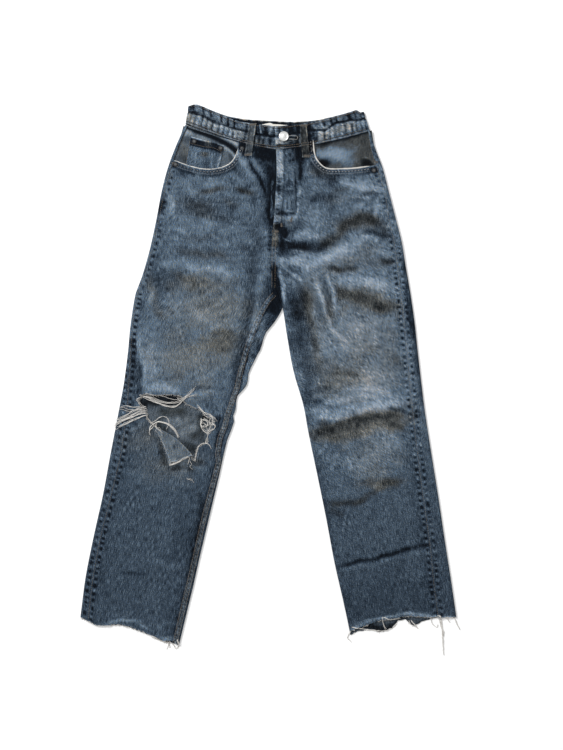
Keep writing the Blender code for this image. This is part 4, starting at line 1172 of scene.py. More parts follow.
def rows_down(table, step, start=0.0, end=HEM):
    """Section positions so that rows lie a step apart down the middle of the panel, in metres."""
    fine = np.linspace(start, end, 400)
    sections = Sections(table, fine)
    middle = (sections.outer + sections.inner) / 2
    run = np.concatenate([[0], np.cumsum(np.linalg.norm(np.diff(middle, axis=0), axis=1))])
    count = int(round(run[-1] / step)) + 1
    even = np.linspace(0, run[-1], count)
    return np.interp(even, run, fine), even


def seam_line(table, which, step=0.25):
    """The outseam or inseam in plan, in millimetres, down the leg."""
    sections = Sections(table, np.arange(0, HEM + step, step))
    if which == "outseam":
        along = sections.outseam
    else:
        along = sections.half_round - sections.inseam_back
    return sections.tube(along[:, None])[0][:, 0, :2] / MM


def large_waves(x, y, seed):
    """Slow, shallow waves of the cloth, in millimetres."""
    return 0.7 * noise(x / 70, y / 60, seed) + 0.35 * noise(x / 27, y / 24, seed + 1)


OUTSEAM = {"right": seam_line(RIGHT, "outseam"), "left": seam_line(LEFT, "outseam")}
INSEAM = seam_line(RIGHT, "inseam")[int(APEX / 0.25):]
FELL_TOP = curve([
    (12, 156), (7, 151), (0, 143), (-10, 127.5), (-19, 108), (-27, 90), (-35, 70), (-42, 50), (-47, 32),
    (-52, 14), (-57, -6), (-61, -25), (-66, -38), (-70, -50), (-75, -65), (-80, -80), (-84, -98), (-92, -117),
    (-96, -135), (-98, -155),
])
FELL_REST = beside(INSEAM, 2.0)
FELL_LINE = np.concatenate([FELL_TOP, FELL_REST[FELL_REST[:, 1] < -165]])
SEAM_ROWS = (-6.5, 6.5)


def hem_reach(columns, shares):
    at, past = np.array(columns).T
    return np.interp(shares, at, past) + 1.3 * noise(np.asarray(shares) * 70, 0, 31)


RUMPLE_SHARE = [(0, 0.8), (2, 1.0), (5, 1.0), (8, 0.9), (10.5, 0.9), (12, 0.45), (14, 0.3), (16, 0.3)]


def rumples(x, y, v, side):
    """Small wrinkles across the cloth, sharp on top and in the hollows, where the body bent it."""
    lean = (0.35 if side == "right" else -0.30) * smoothstep(4, 9, v)
    across, down = x + lean * y, y - lean * x
    warp = noise(x / 31, y / 27, 151)
    height, tone = np.zeros(x.shape), np.zeros(x.shape)
    for size, rise, shade, seed in ((1.0, 0.80, 0.095, 153), (0.47, 0.42, 0.075, 157)):
        lumps = noise(across / (30 * size) + 0.8 * warp, down / (11 * size) + 1.1 * warp, seed)
        ridge = 0.62 - 1.6 * np.abs(lumps)
        gate = 0.55 + 0.6 * noise(x / 45, y / 40, seed + 1)
        # The ridges are paler and the hollows darker: rubbing, with painted highlight and shade.
        height += rise * ridge * gate
        tone += shade * ridge * gate
    share = np.interp(v, *np.array(RUMPLE_SHARE).T)
    return height * share, tone * share


# %% Front panels
CELL = 2.35 * MM
CREASE_DEPTH = 1.35
CREASE_SHADE = {"right": 1.1, "left": 1.25}
WASH_SHARE = {"right": 1.1, "left": 1.3}
PALEST = 0.72
LOWEST_DIP = -2.2
FELL_HALF = 4.8
FLY_EDGE_WIDTH = 14.0
FLY_STITCH = [(50, 436), (52, 400), (55, 370), (58, 335), (57, 307), (47, 291), (28, 286)]


def top_surface(side, x, y, v):
    """Height in mm, tone, brown and shade of the cloth on top, at points of one half."""
    creases, washes, fade = TOP_SURFACE[side]
    height, tone, brown = crease_field(x, y, creases)
    small, small_tone = rumples(x, y, v, side)
    height = CREASE_DEPTH * height + large_waves(x, y, 11 if side == "right" else 17) + small
    tone = CREASE_SHADE[side] * tone + small_tone
    washed, browned = wash_field(x, y, washes)
    tone += WASH_SHARE[side] * washed + np.interp(v, *np.array(fade).T)
    lumps, lump_tone = puckers(x, y, OUTSEAM[side], SEAM_ROWS, seed=3 if side == "right" else 8)
    calm = np.interp(v, [1, 3.5, 6, 7.5], [0.35, 0.45, 0.7, 1.0])
    lumps, lump_tone = lumps * calm, lump_tone * calm
    return height + lumps, tone + lump_tone, brown + browned, np.zeros(x.shape)


OPENING_EDGE = {"right": curve(RIGHT_OPENING, 3.0), "left": curve(LEFT_OPENING, 3.0)}


def dress_opening(x, y, side, height, tone):
    """The turned edge of a pocket opening: a raised hem, pits between its stitches, and a groove."""
    off, along, _ = nearest(x, y, OPENING_EDGE[side])
    off = np.abs(off)
    beat = beats(along / 6.2 + 0.5 * noise(along / 13, 0, 81))
    strength = 0.7 + 0.6 * noise(along / 21, 0, 83)
    pit = bell(off - 5.2, 2.4) * (0.25 + 0.75 * beat**2) * strength
    groove = bell(off - 12.5, 2.6) * strength
    rim = bell(off, 2.0)
    height += 0.9 * smoothstep(13, 9, off) - 0.8 * pit - 0.5 * groove
    tone += 0.20 * rim - 0.55 * pit - 0.26 * groove


def washed(tone, brown, shade):
    tone = np.where(tone > PALEST, PALEST + (1 - PALEST) * np.tanh((tone - PALEST) / 0.5), tone)
    return np.stack([np.clip(tone, 0, 1), np.clip(brown, 0, 1), np.clip(shade, 0, 1)], -1)


def front_panel(name, table, hem, cuts):
    side = name.split("_")[1]
    v, down = rows_down(table, CELL)
    sections = Sections(table, v)
    shares = np.linspace(0, 1, int(round(0.235 / CELL)) + 1)
    along = sections.front_columns(shares)
    points, window, _ = sections.tube(along)
    x, y = points[..., 0] / MM, points[..., 1] / MM
    height, tone, brown, shade = top_surface(side, x, y, v[:, None])
    edge = np.minimum(shares, 1 - shares)[None, :] * (sections.width / MM)[:, None]
    # Painted shade towards the folded sides.
    tone -= SIDE_SHADE * bell(edge, 22) * smoothstep(3, 6, v)[:, None]
    if side == "right":
        dress_inseam(x, y, height, tone, brown)
    dress_opening(x, y, side, height, tone)
    dress_centre(x, y, side, height, tone, brown, shade)
    height = np.clip(height, LOWEST_DIP, None)
    points[..., 2] += (window * height + fly_lift(x, y, side)) * MM
    hang = hem_reach(hem, shares)[None, :] * smoothstep(HEM - 0.6, HEM, v)[:, None] * MM
    points[..., :2] += sections.down[:, None] * hang[..., None]
    tone += 0.16 * smoothstep(HEM - 0.07, HEM - 0.01, v)[:, None]
    middle = (sections.half_round[:, None] + sections.outseam[:, None]) / 2
    place = np.stack([sections.side * (middle - along), np.broadcast_to(down[:, None], along.shape)], -1)
    face = DENIM_RIGHT if side == "right" else DENIM_FACE
    panel = cloth(name + "_cloth", points, (face, DENIM_REVERSE), 1.0 * MM, sign=-sections.side,
                  cuts=cuts, reach=CELL, place=place, wash=washed(tone, brown, shade))
    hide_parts(name)
    return panel


def dress_inseam(x, y, height, tone, brown):
    """The felled inseam of the right leg: a puckered ridge, with a deep shadow on its inner side."""
    off, along, _ = nearest(x, y, FELL_LINE)
    begins = smoothstep(0, 5, along)
    half = np.interp(y, [-60, 20, 45], [4.4, 3.2, FELL_HALF])
    ridge = smoothstep(half + 1.0, half - 1.2, np.abs(off)) * begins
    dimple = 0.0
    for row, turn in ((-2.2, 0.0), (2.2, 1.3)):
        beat = np.sin(2 * math.pi * along / 6.4 + 1.6 * noise(along / 13, 0, 61) + turn)
        dimple = dimple + smoothstep(0.1, 0.9, beat) * bell(off - row, 1.9)
    height += ridge * (1.0 - 0.45 * dimple)
    tone += ridge * (0.17 - 0.36 * dimple)
    brown += 0.45 * ridge * smoothstep(50, 10, y)
    depth = np.interp(y, [-400, -60, -28, 0, 45, 70, 110, 150], [0.10, 0.14, 0.40, 0.6, 0.5, 0.3, 0.4, 0.6])
    inner = bell(off - half - 1.6, 1.7) * begins
    outer = bell(off + half + 1.6, 1.8) * begins
    tone -= depth * inner + 0.12 * outer
    height -= 0.7 * inner + 0.4 * outer


# Lines on the fly, rubbed lines together with painted highlight and shade over the hidden
# buttons, beside the loop and along the edge: tone, half width, and the points they run through
FLY_LINES = [
    (-0.30, 3.0, [(20, 376), (20.5, 373)]), (-0.34, 3.2, [(20, 362), (20, 358)]),
    (-0.26, 3.0, [(20, 351), (20, 346)]), (+0.22, 1.5, [(31, 358), (51, 358)]),
    (+0.30, 1.4, [(37, 315.5), (47, 315)]), (-0.40, 2.6, [(27, 312.5), (36, 309)]),
    (-0.34, 2.2, [(43, 310.5), (51, 311)]), (+0.22, 2.6, [(57, 373), (60, 360), (58, 345)]),
    (+0.28, 2.2, [(57, 331), (57, 318), (54, 304)]),
    (-0.42, 3.4, [(61, 440), (60, 420), (62, 400), (61, 380)]),
    (+0.16, 1.3, [(33, 336), (33, 320)]), (+0.16, 1.3, [(40, 338), (40, 320)]),
    (-0.18, 1.6, [(36.5, 333), (36.5, 321)]), (-0.16, 2.0, [(46, 334), (46.5, 320)]),
    (-0.50, 7.0, [(22, 287), (26, 279), (31, 271)]), (-0.40, 5.5, [(26, 262), (25, 248)]),
    (+0.30, 1.6, [(28, 264), (34, 260), (43, 257)]), (-0.20, 1.8, [(31, 412), (48, 413)]),
    (+0.14, 1.6, [(31, 424), (40, 428), (49, 424)]), (-0.22, 2.2, [(53, 372), (53, 340), (54, 322)]),
    (-0.22, 2.6, [(51, 394), (52, 384), (52, 374)]),
]


def dress_centre(x, y, side, height, tone, brown, shade):
    """The fly's worn edge and its shadows, and the seam below it."""
    edge = np.interp(y, [167, 218, 260, 310, 355, 397, 438], [15.5, 5, 7, 11, 14, 15.5, 14])
    off = np.abs(x - edge)
    upper = smoothstep(283, 293, y)
    lower = 1 - upper
    if side == "left":
        strip = smoothstep(FLY_EDGE_WIDTH + 2, FLY_EDGE_WIDTH - 2, off) * upper
        beat = np.sin(2 * math.pi * y / 7.5 + 2.0 * noise(y / 14, 0, 71))
        core = bell(off - 7, 3.2)
        top = smoothstep(375, 400, y)
        tone += strip * (0.14 + 0.12 * top + 0.06 * noise(x / 3, y / 6, 72))
        tone -= strip * core * (0.10 * beat + 0.16 * smoothstep(0.3, 0.9, beat)) * (1 - 0.6 * top)
        brown += strip * (0.10 + 0.08 * top)
        height += strip * (0.5 + 0.35 * beat * core)
        groove = bell(off - FLY_EDGE_WIDTH - 1.5, 2.0) * upper
        tone -= 0.16 * groove
        height -= 0.5 * groove
        for shade_given, width, points in FLY_LINES:
            line = line_shade(x, y, points, width)
            tone += shade_given * line
            height += 2.0 * shade_given * line
        ring = np.hypot(x - 40, y - 369)
        tone += 0.15 * bell(ring - 9, 1.7) - 0.05 * bell(ring, 6.5)
        seam = smoothstep(9, 6, np.abs(x - 12)) * smoothstep(242, 250, y) * smoothstep(296, 288, y)
        tone -= 0.10 * seam
        brown += 0.9 * seam
    else:
        # Painted shadow of the overlapping left front on the right front, and painted shade in the gap beside
        # the fly.
        tone -= 0.22 * bell(off, 7) * upper
        shade += 0.55 * bell(off, 3.0) * upper
        gap = bell(x - 7, 4.5) * smoothstep(290, 302, y) * smoothstep(392, 376, y)
        tone -= 0.10 * gap
        shade += 0.10 * gap
    seam = bell(off - 4.5, 2.2) * lower
    beat = np.sin(2 * math.pi * y / 8.5 + 1.5 * noise(y / 11, 0, 75))
    near = lower * smoothstep(150, 175, y)
    tone += near * (0.08 * bell(off, 9) - 0.22 * seam * smoothstep(0, 0.8, beat))
    height += near * seam * 0.4 * beat
    shade += 0.15 * lower * bell(off, 1.2)


def fly_lift(x, y, side):
    """The left front lies proud of the right one along the fly."""
    if side == "right":
        return -0.5 * bell(x - 10, 20) * smoothstep(285, 300, y)
    return 1.5 * smoothstep(70, 30, x) * smoothstep(280, 300, y)


right_cuts = [np.array([*curve(RIGHT_OPENING, 2.0), *RIGHT_SCOOP]) * MM, ragged(KNEE_RIP, 1.6, 5) * MM]
left_cuts = [np.array([*curve(LEFT_OPENING, 2.0), *LEFT_SCOOP]) * MM]
front_right = front_panel("front_right", RIGHT, RIGHT_HEM, right_cuts)
front_left = front_panel("front_left", LEFT, LEFT_HEM, left_cuts)
for panel in (front_right, front_left):
    print(panel.name, "has", len(panel.data.polygons), "faces")

# %% [markdown]
# ## The back panels and yokes
# Each back panel is wider than the front.  It starts at the outseam on top, turns round the
# outer fold, runs under the whole leg and comes up round the inner fold to the inseam.  The
# yoke above it is cut the same way and joined by a seam that drops towards the centre.  Both
# are built from one function, with the rows slanting where the yoke seam slants.  On top they
# share the front's surface, so that puckers, fading and painted shade run across the seam.  The
# seat and the backs of the knees get creases of their own.

# %% Creases and fading of the back
BACK_CREASES = {
    "right": [
        (1.3, 9, -0.16, 0.3, [(-205, 208), (-160, 190), (-105, 186), (-50, 200)]),
        (1.0, 7, -0.12, 0.2, [(-180, 176), (-130, 164), (-80, 170)]),
        (1.1, 10, -0.12, 0.3, [(-275, -52), (-220, -60), (-160, -78), (-100, -84)]),
        (0.9, 7, -0.11, 0.2, [(-270, -88), (-225, -97), (-170, -112)]),
        (0.8, 8, -0.10, 0.1, [(-235, -130), (-180, -146), (-120, -152)]),
        (0.7, 6, -0.09, 0, [(-300, -330), (-240, -350), (-180, -352)]),
        (0.8, 6, -0.12, 0.2, [(-20, 250), (-50, 222), (-95, 208)]),
    ],
    "left": [
        (1.3, 9, -0.16, 0.3, [(45, 204), (95, 188), (150, 192), (215, 212)]),
        (1.0, 7, -0.12, 0.2, [(80, 166), (130, 158), (185, 170)]),
        (1.1, 10, -0.13, 0.3, [(95, -78), (150, -66), (205, -70), (270, -50)]),
        (0.9, 7, -0.11, 0.2, [(120, -108), (175, -100), (240, -92)]),
        (0.8, 8, -0.10, 0.1, [(130, -150), (190, -140), (255, -146)]),
        (0.8, 6, -0.10, 0, [(160, -352), (220, -340), (290, -322)]),
        (0.8, 6, -0.12, 0.2, [(28, 252), (58, 224), (100, 210)]),
    ],
}
BACK_WASHES = {
    "right": [
        (-100, 250, 80, 50, 0, 0.07, 0), (-150, 80, 70, 90, 5, 0.05, 0.3), (-25, 300, 25, 90, 0, -0.06, 0)
    ],
    "left": [(120, 250, 80, 50, 0, 0.07, 0), (160, 80, 70, 90, 5, 0.05, 0.3), (40, 300, 25, 90, 0, -0.06, 0)],
}
BACK_FADE = [(0, 0.46), (2, 0.50), (4, 0.56), (6, 0.53), (9, 0.54), (11, 0.46), (13, 0.43), (16, 0.38)]
BACK_HEM = {
    "right": [
        (0, 1), (0.13, 6), (0.25, 2), (0.4, -7), (0.5, -7), (0.6, -5), (0.7, -3), (0.78, 1), (0.88, 3), (1, 0)
    ],
    "left": [
        (0, 1), (0.12, 2), (0.24, 4), (0.28, 8), (0.33, 8), (0.36, 12), (0.4, 16), (0.44, 8), (0.47, 1),
        (0.54, 0), (0.58, 8), (0.62, 13), (0.68, 16), (0.74, 14), (0.78, 8), (0.85, 5), (0.92, 3), (1, 5)
    ],
}
BACK_POCKETS = {"right": (-94, 357, -9), "left": (118, 360, 9)}
# The inside of the backs, where the rip at the knee, the crotch and the left hem lay it bare.
# The darkest rows paint the shadows under the rip's top edge, in the crotch and under the left
# front's hem.
RIP_INSIDE = [
    (-200, -47, 52, 13, 0, -0.75, 0), (-242, -58, 10, 10, 0, -0.60, 0), (-185, -70, 44, 9, 6, -0.16, 0.5),
    (-162, -98, 32, 17, 12, +0.13, 0), (-146, -118, 16, 9, -20, -0.14, 0.4),
    (-129, -106, 9, 28, 0, -0.22, 0.5), (-150, -140, 24, 9, -38, -0.22, 0.4),
    (-205, -102, 22, 10, -35, -0.18, 0.3), (-120, -80, 14, 9, -20, -0.34, 0.2),
    (18, 158, 14, 36, -15, -0.60, 0), (218, -476, 46, 4, 9, -0.40, 0), (300, -470, 40, 4, -4, -0.30, 0),
]
# Folds inside the rip, in the creases' columns.  Only their tone is used, so they are painted highlight and
# shade without relief.
RIP_FOLDS = [
    (1.0, 5, +0.10, 0, [(-196, -92), (-172, -84), (-150, -80)]),
    (-1.0, 4, -0.12, 0.2, [(-186, -106), (-164, -98), (-142, -90)]),
    (1.0, 5, +0.10, 0, [(-172, -120), (-152, -108), (-138, -98)]),
    (-0.8, 4, -0.10, 0.2, [(-150, -132), (-140, -116), (-134, -100)]),
]
YOKE_AT_SIDE, YOKE_DROP, ROWS_LEVEL, YOKE_GAP = 1.5, 0.6, 3.5, 0.004
BACK_RISE = 0.28
HIGHEST_BACK_FOLD = 1.2


def waist_row(share):
    return -BACK_RISE * share**2


def yoke_row(level, share):
    top = waist_row(share)
    return top + (YOKE_AT_SIDE + YOKE_DROP * share - YOKE_GAP - top) * level / YOKE_AT_SIDE


def back_row(level, share):
    left = np.clip((ROWS_LEVEL - level) / (ROWS_LEVEL - YOKE_AT_SIDE), 0, 1)
    return np.minimum(level + (YOKE_DROP * share + YOKE_GAP) * left, HEM)


def back_seam(table, row_at, level, count=60):
    """A line across the back of one half, in millimetres in plan."""
    spots = []
    for share in np.linspace(0.02, 1, count):
        sections = Sections(table, row_at(level, share))
        spots.append(sections.tube(sections.back_columns([share]))[0][0, 0, :2] / MM)
    return np.array(spots)


def under_surface(side, x, y, v):
    """Height in mm, tone and brown of the cloth underneath, at points of one half."""
    height, tone, brown = crease_field(x, y, BACK_CREASES[side])
    height += 0.35 * (1 + large_waves(x, y, 23 if side == "right" else 29))
    washed, browned = wash_field(x, y, BACK_WASHES[side])
    tone += washed + np.interp(v, *np.array(BACK_FADE).T)
    for line, seed in ((YOKE_SEAM[side], 33), (CENTRE_BACK, 37)):
        lumps, lump_tone = puckers(x, y, line, (-6, 2), pitch=9, spread=3.0, dark=0.26, seed=seed)
        height -= 0.5 * lumps
        tone += lump_tone
    return height, tone, brown + browned


# %% Build the back pieces
BACK_CELL = 3.5 * MM


def down_cloth(table, v):
    """How far down the flat cloth each section lies, in metres, straight on above the waist."""
    rows, run = rows_down(table, BACK_CELL)
    return np.interp(v, rows, run) + run[1] / rows[1] * np.minimum(v, 0)


def back_piece(name, row_at, start, end, hem=None, columns=100):
    side = name.split("_")[1]
    table = LEGS[side]
    levels, _ = rows_down(table, BACK_CELL, start, end)
    shares = np.linspace(0, 1, columns)
    stacked = []
    for share in shares:
        sections = Sections(table, row_at(levels, share))
        along = sections.back_columns([share])
        points, above, below = sections.tube(along)
        rise = (points[..., 2] - sections.lift[:, None]) / TUBE
        across = ((points[..., :2] - sections.outer[:, None]) * sections.across[:, None]).sum(-1)
        across = across / sections.width[:, None]
        middle = (sections.half_round[:, None] + sections.outseam[:, None]) / 2
        stacked.append((points, above, below, rise, across, along + middle, sections.v[:, None],
                        np.broadcast_to(sections.down[:, None], (len(levels), 1, 2))))
    joined = [np.concatenate(part, 1) for part in zip(*stacked)]
    points, above, below, rise, across, along, v, leg_down = joined
    x, y = points[..., 0] / MM, points[..., 1] / MM
    high, tone, brown, shade = top_surface(side, x, y, v)
    low, low_tone, low_brown = under_surface(side, x, y, v)
    if side == "right":
        dress_inseam(x, y, high, tone, brown)
    on_top = smoothstep(0.15, 0.85, rise)
    tone = tone * on_top + low_tone * (1 - on_top)
    brown = brown * on_top + low_brown * (1 - on_top)
    # Painted shade where the cloth turns round the folds.
    tone -= SIDE_SHADE * bell(rise - 0.5, 0.5) * smoothstep(3, 6, v)
    # The reverse face gets the inside's marks and folds: painted shadows, and painted highlight and shade of
    # folds.
    marks, browned = wash_field(x, y, RIP_INSIDE)
    _, folds, fold_brown = crease_field(x, y, RIP_FOLDS)
    inner_tone = tone + (1 - on_top) * (marks + folds)
    inner_brown = brown + (1 - on_top) * (browned + fold_brown)
    points[..., 2] += above * np.clip(high, LOWEST_DIP, None) * MM
    points[..., 2] += below * np.clip(low, 0, HIGHEST_BACK_FOLD) * MM
    if hem is not None:
        near_hem = smoothstep(HEM - 0.6, HEM, v)
        hang = hem_reach(hem, across) * near_hem * MM
        points[..., :2] += leg_down * hang[..., None]
        tone += 0.16 * smoothstep(HEM - 0.07, HEM - 0.01, v)
    place = np.stack([along, down_cloth(table, v)], -1)
    sign = -1.0 if side == "right" else 1.0
    piece = cloth(name + "_cloth", points, (DENIM_FACE, DENIM_REVERSE), 1.0 * MM, sign=sign,
                  place=place, wash=washed(tone, brown, shade), inside=washed(inner_tone, inner_brown, shade))
    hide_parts(name)
    return piece


YOKE_SEAM = {
    "right": back_seam(RIGHT, back_row, YOKE_AT_SIDE), "left": back_seam(LEFT, back_row, YOKE_AT_SIDE),
}
CENTRE_BACK = Sections(RIGHT, np.linspace(-BACK_RISE, CROTCH, 12)).inner / MM
backs = []
for side in ("right", "left"):
    backs.append(back_piece("back_" + side, back_row, YOKE_AT_SIDE, HEM, BACK_HEM[side]))
    backs.append(back_piece("yoke_" + side, yoke_row, 0.0, YOKE_AT_SIDE))
for piece in backs:
    print(piece.name, "has", len(piece.data.polygons), "faces")

# %% [markdown]
# ## The waistband
# The band is one long double strip.  It runs from the button end, under the overlap, across the
# right front, round the back, and over the left front to the buttonhole end.  Wear has pulled
# it into a rope: a deep crease runs along it, with a row of puffed bulges below, where the seam
# allowance lies inside, and thin dark pleats above.  It is built as a path along its lower edge,
# sampled closely round the folds, with the relief worked out along and up the band.

# %% Waistband path
BAND_HEIGHT, BAND_CLOTH = 40.0, 2.2 * MM
CLIMB_START, CLIMB_END, OVERLAP_CLIMB = 0.77, 0.815, 2.1 * MM
UNDERLAP_END, UNDERLAP_DROP = 0.835, 0.4 * MM
BAND_LEAN = {"right": 6.0 * MM, "left": -12.0 * MM}
BAND_STEP, BAND_FOLD_STEP, BAND_ROWS = 1.7 * MM, 0.9 * MM, 25
# How the band sags below a straight sewing line, and how its worn top edge waves: x, then mm
BAND_SAG = [(-160, -110, -60, -20, 50, 100, 195), (2, 0, -3.5, -5, -5, -4, -4)]
BAND_TOP = [
    (-160, -156, -150, -142, -130, -120, -110, -100, -80, -60, -40,
     -20, 0, 60, 100, 120, 140, 160, 172, 180, 188),
    (-4, -2, 2.5, 5, 4.5, 3, 1.5, 0, -2.5, -4, -3, -1, 0, 0, -1, 0, 1, 1.5, 1.7, 2, -6),
    (-4, -2, 2.5, 5, 4.5, 3, 1.5, 0, -2, -2, -1.5, -0.5, 0, -1, -1.5, 0, 1, 1.5, 1.7, 2, -6),
]


def band_run(side, shares, front=True):
    """Lower edge of one stretch of the band: points, lean of the top edge, and the side and face."""
    table = LEGS[side]
    out = []
    for share in shares:
        v = 0.0 if front else waist_row(share)
        sections = Sections(table, v)
        along = sections.front_columns([share]) if front else sections.back_columns([share])
        point = sections.tube(along)[0][0, 0] + np.array([0, SEAM_GAP, 0])
        if front and side == "left":
            point[2] += OVERLAP_CLIMB * smoothstep(CLIMB_START, CLIMB_END, share)
        x = point[0] / MM
        sag = np.interp(x, *BAND_SAG) * MM * (1.0 if front else math.exp(-share / 0.12))
        point[1] += sag
        trim = np.interp(x, BAND_TOP[0], BAND_TOP[1 if front else 2])
        rise = (BAND_HEIGHT + trim) * MM - sag
        out.append([*point, BAND_LEAN[side] * (1 - share), rise, 1.0 if front else -1.0, share])
    return out


def band_path():
    underlap = band_run("left", np.linspace(UNDERLAP_END, 0.999, 16))
    for stop in underlap:
        stop[2] -= UNDERLAP_DROP + OVERLAP_CLIMB * smoothstep(CLIMB_START, CLIMB_END, stop[6])
    stops = underlap + band_run("right", np.linspace(1, 0, 90))
    stops += band_run("right", np.linspace(0, 1, 120), front=False)
    stops += band_run("left", np.linspace(1, 0, 120), front=False)[1:]
    stops += band_run("left", np.linspace(0, 1, 90))
    stops = np.array(stops)
    length = np.linalg.norm(np.diff(stops[:, :3], axis=0), axis=1)
    steep = np.abs(np.diff(stops[:, 2])) > 0.25 * length
    weight = length / np.where(steep, BAND_FOLD_STEP, BAND_STEP)
    count = np.concatenate([[0], np.cumsum(weight)])
    run = np.concatenate([[0], np.cumsum(length)])
    even = np.linspace(0, count[-1], int(count[-1]) + 1)
    columns = np.stack([np.interp(even, count, stops[:, k]) for k in range(7)], -1)
    return columns, np.interp(even, count, run) / MM


# %% Waistband relief and wear
BAND_CREASE = [
    (-170, 512), (-158, 509), (-148, 506), (-134, 502), (-120, 496), (-107, 488.5), (-92, 483), (-80, 479.5),
    (-70, 475.5), (-48, 471), (-20, 464), (14, 460), (60, 467), (80, 472), (92, 471.5), (108, 471),
    (118, 477), (130, 485.5), (146, 488), (158, 491.5), (172, 490.5), (185, 494), (200, 495),
]
# Washes of the band, in the legs' columns.  The dark ones paint the shadows of the loops and of the overlap
# on the underlap end.
BAND_WASHES = [
    (-8, 462, 21, 24, 0, -0.30, 0),
    (46, 458, 16, 26, 0, -0.24, 0),
    (83, 463, 9, 22, 0, -0.34, 0),
    (30, 478, 26, 7, 0, -0.20, 0),
    (22, 449, 10, 7, 0, +0.26, 0.1),
    (-152, 517, 9, 6, 0, -0.30, 0),
    (-142, 513, 7, 6, 0, +0.10, 0),
    (-150, 492, 16, 9, -10, +0.10, 0.4),
    (-60, 468, 34, 9, -25, +0.08, 0.3),
    (135, 470, 34, 8, 15, +0.04, 0.6),
    (86, 462, 8, 14, 0, -0.16, 0),
    (182, 486, 14, 7, 10, +0.10, 0),
    (-120, 485, 12, 6, -25, +0.24, 0),
    (-90, 477, 12, 7, -20, +0.28, 0),
    (7, 453, 9, 7, 0, -0.24, 0),
    (-57, 483, 7, 4, 0, -0.15, 0),
    (-40, 448, 12, 6, 0, -0.16, 0),
]
# Single lines on the band: tone, half width, and the points they run through.  The dark ones
# paint shadows, beside the loops, below the band and in the buttonhole, and the pale ones paint
# highlights on folds.
BAND_LINES = [
    (+0.42, 1.8, [(-17, 480), (-15, 468), (-11, 456)]),
    (+0.36, 2.0, [(6, 478), (2, 466), (-2, 457)]),
    (+0.40, 1.9, [(13, 479), (13.5, 460), (15, 445)]),
    (-0.50, 2.4, [(17, 442), (36, 441), (58, 443)]),
    (-0.45, 2.6, [(-24, 484), (-28, 462), (-31, 444)]),
    (-0.35, 2.2, [(-41, 483), (-45, 462), (-48, 448)]),
    (-0.50, 3.2, [(58, 480), (57, 462), (57, 444)]),
    (-0.50, 2.6, [(78, 484), (79, 466), (80, 448)]),
    (-0.40, 3.0, [(44, 478), (45, 468)]),
    (+0.34, 2.4, [(86, 480), (92, 472), (104, 466), (120, 466)]),
    (+0.30, 2.0, [(100, 488), (106, 478), (116, 474)]),
    (-0.45, 1.3, [(41, 457.2), (54, 456.6)]),
]
INNER_SHOWING = 105.0


def band_surface(x, y, t, s, front):
    """Height in mm, tone and brown of the band, t up it and s along it."""
    drift = 0.6 * noise(s / 37, 0, 81) + 0.3 * noise(s / 13, 0, 82)
    off = nearest(x, y, curve(BAND_CREASE, 6))[0]
    off = np.where(front > 0, off, t - 25 - 3 * noise(s / 30, 0, 83))
    crease_level = np.where(front > 0, np.interp(x, [-160, -54, 14, 90, 195], [29, 20, 19, 26, 25]), 25)
    lower = smoothstep(1, -5, t - crease_level)
    upper = smoothstep(0, 5, t - crease_level)
    beat = beats(s / 11.5 + drift + 0.012 * t)
    slant = beats(s / 18.5 + 1.2 * drift - t / 90)
    body = smoothstep(3, 7, t) * lower
    strength = np.clip(0.55 + 0.75 * noise(s / 19, 0, 84), 0, 1)
    gaps = smoothstep(0.62, 1.0, 1 - beat) * body * strength
    lumps = beat * body * (0.75 + 0.45 * noise(s / 8, t / 7, 85))
    marks = smoothstep(0.66, 0.98, slant) * upper * np.clip(0.75 + 0.5 * noise(s / 17, 0, 86), 0, 1)
    wide = np.where(x < -100, 3.2, 2.0)
    depth = bell(off, wide) * np.clip(0.8 + 0.5 * noise(s / 26, 0, 87), 0, 1)
    ridge = bell(off + 5.0, 2.2) * (0.6 + 0.5 * noise(s / 9, 0, 92))
    height = 1.2 * lumps - 0.6 * gaps - 1.0 * marks - 1.9 * depth + 0.7 * ridge
    height += 0.6 * upper * noise(s / 12, t / 10, 88)
    # Paler bulges and ridge, darker gaps, crease and pleats: rubbing and kept dye, together with painted
    # highlight and shade.
    tone = 0.54 + 0.16 * lumps - 0.30 * gaps - 0.46 * marks - 0.62 * depth + 0.18 * ridge
    tone += upper * (0.14 * noise(s / 7, t / 7, 89) - 0.02) + 0.16 * noise(s / 3.5, t / 4, 93)
    tone += 0.20 * smoothstep(38.2, 39.4, t) - 0.34 * bell(t - 5.2, 1.0)
    tone += 0.12 * bell(t - 2.6, 1.2) - 0.16 * bell(t - 36.6, 0.8)
    # A dark strip along the lower edge: the painted shadow of the band's edge.
    tone -= 0.45 * smoothstep(1.4, 0.2, t)
    height += 0.35 * bell(t - 2.4, 1.3) - 0.3 * bell(t - 5.0, 0.9)
    height -= 0.7 * smoothstep(38, 40, t) + 0.5 * smoothstep(1.2, 0, t)
    brown = 0.16 + 0.45 * noise(s / 21, t / 14, 90) * lower
    pale, browned = wash_field(x, y, BAND_WASHES)
    for shade, width, points in BAND_LINES:
        pale = pale + shade * line_shade(x, y, points, width)
    # The inside of the back band, where it shows above the front, is darkened as painted shade.
    showing = smoothstep(INNER_SHOWING, INNER_SHOWING - 15, np.abs(x - 5))
    inner = smoothstep(24, 29, t) * smoothstep(38.0, 37.0, t) * showing
    edge = smoothstep(37.4, 38.4, t) * (0.6 + noise(s / 9, 0, 94))
    pale = np.where(front > 0, pale, 0.16 * edge - 0.34 * inner)
    return height, tone + pale, brown + browned + np.where(front > 0, 0, 0.7 * edge)


